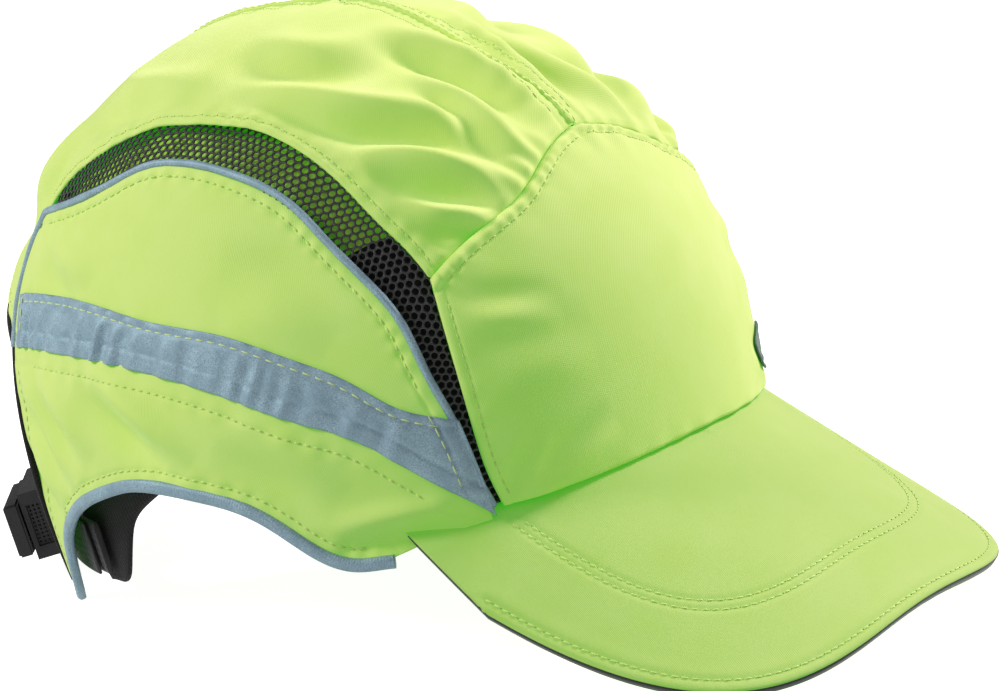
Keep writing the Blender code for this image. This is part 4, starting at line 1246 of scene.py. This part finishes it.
def rear_binding(finish):
    """The black binding up both wings' rear edges and over the opening at the back."""
    runs = []
    for side in (-1, 1):
        lines = lines_of(side)
        rising = lines["wing_rear"](np.linspace(0.06, 1, 90))[:-1]
        over = lines["arch"](np.linspace(0, 1, 110))
        runs.append(np.concatenate((rising, over)))
    places = np.concatenate((runs[0], runs[1][::-1][1:]))
    points = standing(raised(places, np.full(len(places), -REAR_BINDING_SINK)))
    obj = sweep(
        "rear_arch_binding_tape", points, way_out(dome_normal(places)), REAR_BINDING_RADIUS,
        REAR_BINDING_RADIUS, finish["binding_black"], 14, 2.4,
    )
    join_up(obj, "root", "black_fabric", "rear_arch_binding")


# ---------------------------------------------------------------- the vents


def inside_of(points, outline):
    """Which flat points lie within a closed outline."""
    found = np.zeros(len(points), bool)
    for (ax, ay), (bx, by) in zip(outline, np.roll(outline, -1, axis=0)):
        crosses = (ay > points[:, 1]) != (by > points[:, 1])
        with np.errstate(divide="ignore", invalid="ignore"):
            meets = (bx - ax) * (points[:, 1] - ay) / (by - ay) + ax
        found ^= crosses & (points[:, 0] < meets)
    return found


def net_cells(centres):
    """Flat points and faces of six-sided cells, each with a round hole; neighbours share their rims."""
    around = np.arange(12)
    turn = np.radians(30 + 30 * around)
    rim = np.where(around % 2 == 0, 1 / math.sqrt(3), 0.5) * NET_PITCH
    ring = np.stack((np.cos(turn), np.sin(turn)), -1)
    corners = (centres[:, None] + ring * rim[:, None]).reshape(-1, 2)
    rounded = np.round(corners / (0.02 * MM))
    _, first, shared = np.unique(rounded, axis=0, return_index=True, return_inverse=True)
    holes = (centres[:, None] + ring * (NET_PITCH - NET_WALL) / 2).reshape(-1, 2)
    outer = shared.reshape(-1, 12)
    inner = len(first) + np.arange(len(holes)).reshape(-1, 12)
    quads = np.stack((outer, np.roll(outer, -1, 1), np.roll(inner, -1, 1), inner), -1)
    return np.concatenate((corners[first], holes)), quads.reshape(-1, 4)


def vent_net(finish, word, side):
    """A knitted net of six-sided cells with round holes, whose rows follow the piping."""
    lines = lines_of(side)
    inner = chain(straight(chart(*PIPING_FOOT, side), lines["piping"](0)), lines["piping"], 0.06)
    outer = chain(lines["front_side"], lines["vent"], 0.3)
    line = on_dome(inner, 400)
    lengths = lengths_along(line)
    way = unit(np.gradient(line, axis=0))

    def placed(cell):
        """Chart places of net points, given as lengths along and away from the piping."""
        spot = np.stack([np.interp(cell[:, 0], lengths, line[:, k]) for k in range(3)], -1)
        ahead = unit(np.stack([np.interp(cell[:, 0], lengths, way[:, k]) for k in range(3)], -1))
        for _ in range(4):
            aside = unit(np.cross(dome_normal(place_of(spot)), ahead)) * side
            spot = dome_point(place_of(spot + aside * cell[:, 1:] / 4))
        return place_of(spot)

    row_pitch = NET_PITCH * math.sqrt(3) / 2
    rows = np.arange(-1, int(NET_REACH / row_pitch))
    columns = np.arange(0, int(lengths[-1] / NET_PITCH))
    across, up = np.meshgrid(columns, rows)
    centres = np.stack(((across + 0.5 * (up % 2)) * NET_PITCH, up * row_pitch), -1).reshape(-1, 2)
    outline = np.concatenate((inner(np.linspace(0, 1, 160)), outer(np.linspace(1, 0, 160))))
    places = placed(centres)
    edge = np.concatenate((on_dome(inner, 200), on_dome(flipped(outer), 200)))
    centres = centres[inside_of(places, outline) | (near(dome_point(places), edge)[0] < NET_MARGIN)]
    cells, faces = net_cells(centres)
    faces = (faces if side < 0 else faces[:, ::-1]).tolist()
    places = placed(cells)
    sag = 0.25 * MM * ripple(dome_point(places), 0.02, 41)
    points = standing(raised(places, sag - NET_DEPTH))
    name = "vent_mesh_" + word
    obj = new_object(name + "_net", new_mesh(name + "_net", points, faces, cells), finish["net"])
    solid = obj.modifiers.new("Thickness", "SOLIDIFY")
    solid.thickness = NET_THICKNESS
    solid.offset = 0
    join_up(obj, "root", "vent_mesh", name)
    vent_lining(finish, word, side, inner, outer)


def vent_lining(finish, word, side, inner, outer):
    """Black cloth behind the net's front end, and behind its last few millimetres at the rear."""
    name = "vent_lining_" + word

    def relief(points):
        return 0.3 * MM * ripple(points, 0.018, 43)

    for part, (inner_span, outer_span) in LINING_SPANS.items():
        places = strip(part_of(inner, *inner_span), part_of(outer, *outer_span), 90, 24)
        obj = cloth(f"{name}_{part}", places, relief, 0.4 * MM, finish["lining"], LINING_DEPTH)
        join_up(obj, "root", "black_fabric", *([name] if part == "front" else []))


# ---------------------------------------------------------------- the brim


def brim_outline(turn, inset):
    power = 2 / BRIM_POWER
    across, ahead = np.sin(turn), np.abs(np.cos(turn))
    x = (BRIM_HALF_WIDTH - inset) * np.sign(across) * np.abs(across) ** power
    return np.stack((x, -(BRIM_CORNER + (BRIM_LENGTH - inset) * ahead**power)), -1)


def brim_surface(flat):
    """Points of the brim's top surface over flat points, and the way out of it."""
    x, y = flat[..., 0], flat[..., 1]
    step = MM
    slope_x = (brim_height(x + step, y) - brim_height(x - step, y)) / (2 * step)
    slope_y = (brim_height(x, y + step) - brim_height(x, y - step)) / (2 * step)
    normal = unit(np.stack((-slope_x, -slope_y, np.ones_like(x)), -1))
    return np.stack((x, y, brim_height(x, y)), -1), normal


def brim_flat(inset, columns, rows):
    """Flat points of the brim from the crown out to its edge, closer together near the edge."""
    u = np.linspace(-1, 1, columns + 1)
    places = brim_line(-BRIM_END_ANGLE, BRIM_END_ANGLE)((u + 1) / 2)
    inner = raised(places, np.full(len(u), -(BRIM_TUCK + inset)))[:, :2]
    outer = brim_outline(np.radians(u * BRIM_OUTLINE_END), inset)
    share = np.linspace(0, 1, rows + 1) ** 0.85
    return inner + (outer - inner) * share[:, None, None]


def brim_rows():
    """The lines that the brim is stitched along, as flat points: one near the edge, and two inside."""
    turns = np.radians(np.linspace(-90, 90, 260))
    rows = [brim_outline(turns[8:-8], BRIM_EDGE_ROW)]
    power = 2 / BRIM_ROW_POWER
    for outset in (0.0, BRIM_ROW_GAP):
        x = (BRIM_ROW_HALF_WIDTH + outset) * np.sign(turns) * np.abs(np.sin(turns)) ** power
        y = -(BRIM_ROW_START + (BRIM_ROW_LENGTH + outset) * np.cos(turns).clip(0) ** power)
        rows.append(np.stack((x, y), -1))
    return rows


def brim_relief(flat, rows):
    """A slight dip along each stitched row, and an edge that rounds over."""
    total = np.zeros(flat.shape[:-1])
    spots = np.concatenate((flat, np.zeros(flat.shape[:-1] + (1,))), -1)
    for k, row in enumerate(rows):
        line = np.concatenate((row, np.zeros((len(row), 1))), -1)
        distance, _, along = near(spots, line)
        total -= (0.30 if k else 0.22) * MM * bump(distance, 0.75 * MM)
        total += 0.06 * MM * pulse(along, 0.0034, k) * bump(distance, 1.6 * MM)
    edge = brim_outline(np.radians(np.linspace(-84, 84, 240)), 0)
    line = np.concatenate((edge, np.zeros((len(edge), 1))), -1)
    distance = near(spots, line)[0]
    total -= 0.40 * MM * (1 - distance / (1.2 * MM)).clip(0, 1) ** 2
    total += 0.10 * MM * bump(distance - 4.2 * MM, 1.6 * MM)
    return total + 0.20 * MM * ripple(spots, 0.05, 51)


def brim(finish):
    """The brim's three layers, and the stitches through them."""
    rows = brim_rows()
    points, normal = brim_surface(brim_flat(0, 240, 110))
    relief = brim_relief(points[..., :2], rows)
    top = standing(points + normal * relief[..., None])
    # Both brim covers use the fabric darkened as painted shade.
    obj = sheet("brim_top_cloth", top, way_out(normal), COVER_THICKNESS, finish["brim_fabric_painted_shade"])
    join_up(obj, "root", "hi_vis_fabric", "brim_top_cover")
    points, normal = brim_surface(brim_flat(-BOARD_LEAD, 160, 30))
    board = standing(points - normal * (COVER_THICKNESS + BRIM_GAP - BOARD_LIFT))
    obj = sheet("brim_board_plate", board, normal, BOARD_THICKNESS + BOARD_GROWTH, finish["board"])
    join_up(obj, "root", "black_plastic", "brim_board")
    points, normal = brim_surface(brim_flat(UNDER_INSET, 200, 70))
    depth = COVER_THICKNESS + 2 * BRIM_GAP + BOARD_THICKNESS
    relief = depth + 0.6 * brim_relief(points[..., :2], rows)
    under = standing(points - normal * relief[..., None])
    obj = sheet("brim_under_cloth", under, normal, COVER_THICKNESS, finish["brim_fabric_painted_shade"])
    join_up(obj, "root", "hi_vis_fabric", "brim_under_cover")
    sewn(finish, "brim_stitches", [brim_stitches(row, rows) for row in rows])


def brim_stitches(row, rows):
    """The ends of the stitches along one row, as far as it is clear of the crown."""
    points = resampled(brim_surface(row)[0], (STITCH + STITCH_GAP) / 4)
    base, outwards = brim_surface(points[:, :2])
    clear = np.linalg.norm(dome_point(place_of(base)) - base, axis=1) > CROWN_CLEARANCE
    base, outwards = base[clear], outwards[clear]
    height = brim_relief(base[:, :2], rows)
    return stitch_ends(standing(base + outwards * height[:, None]), way_out(outwards))


def front_patch(finish):
    """A plain oval patch with a sewn edge, low on the front panel's left."""
    u, v = np.meshgrid(np.linspace(-1, 1, 49), np.linspace(-1, 1, 25))
    angle = PATCH_ANGLE + np.degrees(u * PATCH_LENGTH / 2 / CROWN_HALF_WIDTH)
    half = PATCH_HEIGHT / 2 * np.sqrt((1 - (0.95 * u) ** 2).clip(0.12))
    base = dome_point(chart(angle, PATCH_LEVEL + v * half / CROWN_HEIGHT, 1))
    edge = np.maximum(np.abs(v), np.abs(u) ** 3)
    lift = 0.75 * MM + 0.35 * MM * bump(edge - 0.86, 0.10) - 0.3 * MM * (edge > 0.99)
    outwards = dome_normal(place_of(base))
    points = standing(base + outwards * (front_relief(base) + lift)[..., None])
    obj = sheet("front_patch_cloth", points, outwards, 0.6 * MM, finish["patch"])
    join_up(obj, "root", "green_patch", "front_patch")


# ---------------------------------------------------------------- what is inside


def arc_line(start, end, height):
    """A level line round the crown; angles below zero lie on the wearer's right."""

    def place(u):
        return chart(start + (end - start) * np.asarray(u, float), np.full_like(u, height, dtype=float), 1)

    return place


def pad(name, places, depth, thickness, material, slot, node, channels=0):
    """A foam or padded piece: its edges round over and its inner face has sewn channels."""
    rows, columns = places.shape[0], places.shape[1]
    u, v = np.meshgrid(np.linspace(0, 1, columns), np.linspace(0, 1, rows))
    edge = np.minimum(np.minimum(u, 1 - u) * columns / 4, np.minimum(v, 1 - v) * rows / 4).clip(0, 1)
    round_over = np.sqrt(1 - (1 - edge) ** 2)
    wave = 1.0
    if channels:
        wave = 1 - 0.45 * np.exp(-((np.abs((u * channels) % 1 - 0.5) / 0.10) ** 2))
    half = thickness / 2 * (0.12 + 0.88 * round_over) * wave
    base = dome_point(places)
    outwards = dome_normal(places)
    middle = depth + thickness / 2
    outer = standing(base - outwards * (middle - half)[..., None])
    inner = standing(base - outwards * (middle + half)[..., None])
    count = rows * columns
    faces = grid_faces(rows, columns)
    faces += (np.array(grid_faces(rows, columns, flip=True)) + count).tolist()
    index = np.arange(count).reshape(rows, columns)
    border = np.concatenate((index[0, :-1], index[:-1, -1], index[-1, :0:-1], index[:0:-1, 0]))
    after = np.roll(border, -1)
    faces += np.stack((after, border, border + count, after + count), -1).tolist()
    uv = np.concatenate((metric_uv(outer).reshape(-1, 2), metric_uv(inner).reshape(-1, 2)))
    points = np.concatenate((outer.reshape(-1, 3), inner.reshape(-1, 3)))
    obj = new_object(name, new_mesh(name, points, faces, uv), material)
    fix_normals(obj.data)
    join_up(obj, "root", slot, node)
    return obj


def pads(finish):
    """Everything padded inside the cap."""
    depth = SHELL_DEPTH + SHELL_THICKNESS + PAD_GAP
    for node, (start, end, low, high, channels) in PADS.items():
        places = strip(arc_line(start, end, low), arc_line(start, end, high), 72, 36)
        pad(node + "_foam", places, depth, PAD_THICKNESS, finish["foam"], "black_foam", node, channels)
    crown_pad(finish, depth)
    sweatband(finish)
    for word, side in (("right", -1), ("left", 1)):
        lines = lines_of(side)
        places = strip(lines["lining_front"], lines["lining_back"], 96, 36)
        name = "wing_lining_" + word
        pad(
            name + "_pad", places, WING_LINING_DEPTH, WING_LINING_THICKNESS, finish["lining"],
            "black_fabric", name,
        )


def crown_pad(finish, depth):
    """The round pad under the crown, with a raised ring of cells."""
    spokes, rings = 96, 30
    turn = np.linspace(0, 360, spokes, endpoint=False)
    side = np.where(turn > 180, 1.0, -1.0)
    rim = chart_sided(np.where(turn > 180, 360 - turn, turn), np.full(spokes, CROWN_PAD_RIM), side)
    share = np.linspace(0.004, 1, rings)
    places = rim[None] * share[:, None, None]
    round_over = np.sqrt(1 - ((share - 0.86) / 0.14).clip(0, 1) ** 2)
    cells = 1 - 0.30 * bump(share - 0.55, 0.05)
    half = (PAD_THICKNESS / 2 * (0.12 + 0.88 * round_over) * cells)[:, None]
    base, outwards = dome_point(places), dome_normal(places)
    middle = depth + PAD_THICKNESS / 2
    outer = standing(base - outwards * (middle - half)[..., None])
    inner = standing(base - outwards * (middle + half)[..., None])
    count = spokes * rings
    faces = grid_faces(rings, spokes, closed=True)
    faces += (np.array(grid_faces(rings, spokes, flip=True, closed=True)) + count).tolist()
    last = np.arange(count - spokes, count)
    after = np.roll(last, -1)
    faces += np.stack((last, after, after + count, last + count), -1).tolist()
    faces += [list(range(spokes)), list(range(count, count + spokes))[::-1]]
    points = np.concatenate((outer.reshape(-1, 3), inner.reshape(-1, 3)))
    obj = new_object("crown_pad_foam", new_mesh("crown_pad_foam", points, faces), finish["foam"])
    fix_normals(obj.data)
    join_up(obj, "root", "black_foam", "crown_pad")


def sweatband(finish):
    """The padded band round the brow; its lower edge follows the brim's root, then the hem."""
    angles, heights = zip(*SEAMS["hem"])

    def bottom(u):
        angle = SWEATBAND_END * (2 * np.asarray(u, float) - 1)
        side = np.where(angle < 0, 1.0, -1.0)
        root = brim_line(0, SWEATBAND_END)(np.abs(angle) / SWEATBAND_END)
        hem = chart(np.abs(angle), np.interp(np.abs(angle), angles, heights), 1)
        edge = np.where((np.abs(angle) < angles[0])[..., None], root, hem)
        inset = edge * (1 - SWEATBAND_RISE / np.linalg.norm(edge, axis=-1, keepdims=True))
        return inset * np.stack((-side, np.ones_like(side)), -1)

    top = arc_line(-SWEATBAND_END, SWEATBAND_END, SWEATBAND_TOP)
    pad(
        "sweatband_terry", strip(bottom, top, 220, 26), SWEATBAND_DEPTH, SWEATBAND_THICKNESS,
        finish["terry"], "black_fabric", "sweatband",
    )


# ---------------------------------------------------------------- strap and buckle


def strap_points(angle, up=0.0, lift=0.0):
    """Points on the strap's cone, and the way out of it."""
    lean = math.atan(STRAP_FLARE)
    radius = STRAP_RADIUS + up * math.sin(lean) + lift * math.cos(lean)
    height = STRAP_MIDDLE + up * math.cos(lean) - lift * math.sin(lean)
    turn = np.radians(angle)
    level = np.full_like(turn, height)
    points = np.stack((np.sin(turn) * radius, STRAP_AXIS_Y - np.cos(turn) * radius, level), -1)
    out = (np.sin(turn) * math.cos(lean), -np.cos(turn) * math.cos(lean), np.full_like(turn, -math.sin(lean)))
    return points, np.stack(out, -1)


def strap_band(name, start, end, low, high, material):
    """A woven band between two lifts, with ribs across it and rounded edges."""
    angle = np.linspace(start, end, 2 + int(abs(end - start) * 4))
    points, outwards = strap_points(angle, 0.0, (low + high) / 2)
    ribs = 1 + 0.05 * np.cos(np.radians(angle) * STRAP_RADIUS * 2 * math.pi / RIB_PITCH)
    half_height = (high - low) / 2 * ribs
    return sweep(name, standing(points), way_out(outwards), STRAP_WIDTH / 2, half_height, material, 28, 5.0)


def strap(finish):
    """The strap round the back, and the webbing that holds the buckle to the cap."""
    half = STRAP_THICKNESS / 2
    band = strap_band("adjuster_strap_web", STRAP_END, 360 - STRAP_END, -half, half, finish["webbing"])
    join_up(band, "strap", "webbing", "adjuster_strap")
    low = half + STRAP_CLEARANCE
    tail = strap_band(
        "buckle_webbing_web", -WEBBING_START, -(BUCKLE_ANGLE - 3), low, low + WEBBING_THICKNESS,
        finish["webbing"],
    )
    join_up(tail, "root", "webbing", "buckle_webbing")


def moulded(finish, node, body, slot, width, material):
    """A packed plastic piece with its faces joined up and its edges rounded."""
    build = bmesh.new()
    build.from_mesh(frame["nodes"][node].data)
    bmesh.ops.remove_doubles(build, verts=build.verts, dist=2e-6)
    bmesh.ops.dissolve_limit(build, angle_limit=math.radians(1.0), verts=build.verts, edges=build.edges)
    bmesh.ops.recalc_face_normals(build, faces=build.faces)
    mesh = bpy.data.meshes.new(node + "_moulding")
    build.to_mesh(mesh)
    build.free()
    obj = new_object(node + "_moulding", mesh, material)
    bevel = obj.modifiers.new("Edges", "BEVEL")
    bevel.width = width
    bevel.segments = 3
    bevel.limit_method = "ANGLE"
    bevel.angle_limit = math.radians(35)
    bevel.harden_normals = False
    mesh.shade_smooth()
    mesh.set_sharp_from_angle(angle=math.radians(40))
    return join_up(obj, body, slot, node)


def buckle_place():
    """Where the buckle sits on the strap: along it, up it and out of it."""
    middle, out = strap_points(-BUCKLE_ANGLE)
    upper, _ = strap_points(-BUCKLE_ANGLE, 1.0)
    out, up = Vector(out), Vector(upper - middle)
    matrix = Matrix((up.cross(out), up, out)).transposed().to_4x4()
    matrix.translation = Vector(middle)
    return STAND @ matrix


def buckle(finish):
    """The buckle's body, lever and pin, and the dots that its grip is moulded with."""
    moulded(finish, "buckle_body", "root", "black_plastic", 0.45 * MM, finish["plastic"])
    moulded(finish, "buckle_lever", "lever", "black_plastic", 0.30 * MM, finish["plastic"])
    moulded(finish, "buckle_pin", "root", "pin_steel", 0.15 * MM, finish["steel"])
    build = bmesh.new()
    low = STRAP_THICKNESS / 2 + STRAP_CLEARANCE + DOTS_LOW
    high = BUCKLE_DEPTH - DOTS_HIGH
    place = buckle_place()
    columns, rows = DOTS
    for i in range(columns):
        for j in range(rows):
            y = (i + 0.5 - columns / 2) * (GRIP_LENGTH - DOTS_MARGIN) / columns
            z = low + (j + 0.5) * (high - low) / rows
            spot = Matrix.Translation((BUCKLE_LENGTH / 2 - GRIP_DEPTH, y, z))
            matrix = place @ spot @ Matrix.Diagonal((*DOT_SIZE, 1))
            bmesh.ops.create_uvsphere(build, u_segments=10, v_segments=6, radius=1, matrix=matrix)
    mesh = bpy.data.meshes.new("buckle_grip_dots")
    build.to_mesh(mesh)
    build.free()
    mesh.shade_smooth()
    join_up(new_object("buckle_grip_dots", mesh, finish["plastic"]), "root", "black_plastic")


# ---------------------------------------------------------------- stage, camera, lights


def floor():
    """A pale floor just under the cap; it glows, but its light doesn't reach the cap's cloth."""
    bpy.ops.mesh.primitive_plane_add(size=FLOOR_SIZE, location=(0, 0, -FLOOR_DROP))
    obj = bpy.context.object
    obj.name = "floor"
    material = surface(
        "floor", (0.82, 0.82, 0.82), 0.9, Emission_Color=(1, 1, 1, 1), Emission_Strength=FLOOR_GLOW
    )
    obj.data.materials.append(material)
    obj.visible_diffuse = False


def view_axes(azimuth, elevation, roll=0.0):
    """Right, up and back of a view, in the crown's frame."""
    back = Vector((
        math.sin(azimuth) * math.cos(elevation), -math.cos(azimuth) * math.cos(elevation), math.sin(elevation)
    ))
    level = Vector((0, 0, 1)).cross(back).normalized()
    rise = back.cross(level)
    right = math.cos(roll) * level + math.sin(roll) * rise
    return right, back.cross(right), back


def camera():
    """The photo's viewing angle."""
    right, up, back = view_axes(CAMERA_AZIMUTH, CAMERA_ELEVATION, CAMERA_ROLL)
    matrix = Matrix((right, up, back)).transposed().to_4x4()
    matrix.translation = Vector(CAMERA_TARGET) + back * CAMERA_DISTANCE
    data = bpy.data.cameras.new("camera")
    data.lens = CAMERA_LENS
    data.sensor_width = CAMERA_SENSOR
    obj = bpy.data.objects.new("camera", data)
    bpy.context.scene.collection.objects.link(obj)
    obj.matrix_world = STAND @ matrix
    bpy.context.scene.camera = obj


def light(name, azimuth, elevation, distance, size, power, colour):
    """A round soft light that faces the camera's target."""
    _, _, back = view_axes(math.radians(azimuth), math.radians(elevation))
    data = bpy.data.lights.new(name, "AREA")
    data.shape = "DISK"
    data.size = size
    data.energy = power
    data.color = colour
    obj = bpy.data.objects.new(name, data)
    bpy.context.scene.collection.objects.link(obj)
    target = STAND @ Vector(CAMERA_TARGET)
    obj.location = target + back * distance
    obj.rotation_euler = (target - obj.location).to_track_quat("-Z", "Y").to_euler()


def studio():
    """Floor, camera, two soft lights and an even white surround."""
    floor()
    camera()
    for name, values in LIGHTS.items():
        light(name, *values)
    world = bpy.data.worlds.new("studio")
    world.use_nodes = True
    background = world.node_tree.nodes["Background"]
    background.inputs["Color"].default_value = (*WORLD_COLOUR, 1)
    background.inputs["Strength"].default_value = WORLD_STRENGTH
    bpy.context.scene.world = world
    bpy.context.scene.view_settings.view_transform = "Standard"


def carried_over(finish):
    """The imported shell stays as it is, and gets its finish."""
    slots = frame["nodes"]["impact_shell"].data.materials
    slots.clear()
    slots.append(finish["shell"])


def main():
    """Builds every piece, then the studio round it."""
    finish = finishes()
    carried_over(finish)
    front_panel(finish)
    centre_strip(finish)
    brim(finish)
    front_patch(finish)
    rear_binding(finish)
    for word, side in (("right", -1), ("left", 1)):
        crown_panel(finish, word, side)
        side_panel(finish, word, side)
        reflective_band(finish, word, side)
        trims(finish, word, side)
        vent_net(finish, word, side)
    pads(finish)
    strap(finish)
    buckle(finish)
    studio()


for leftover in list(bpy.data.objects):
    bpy.data.objects.remove(leftover)
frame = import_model()
STAND = stand_matrix()
main()
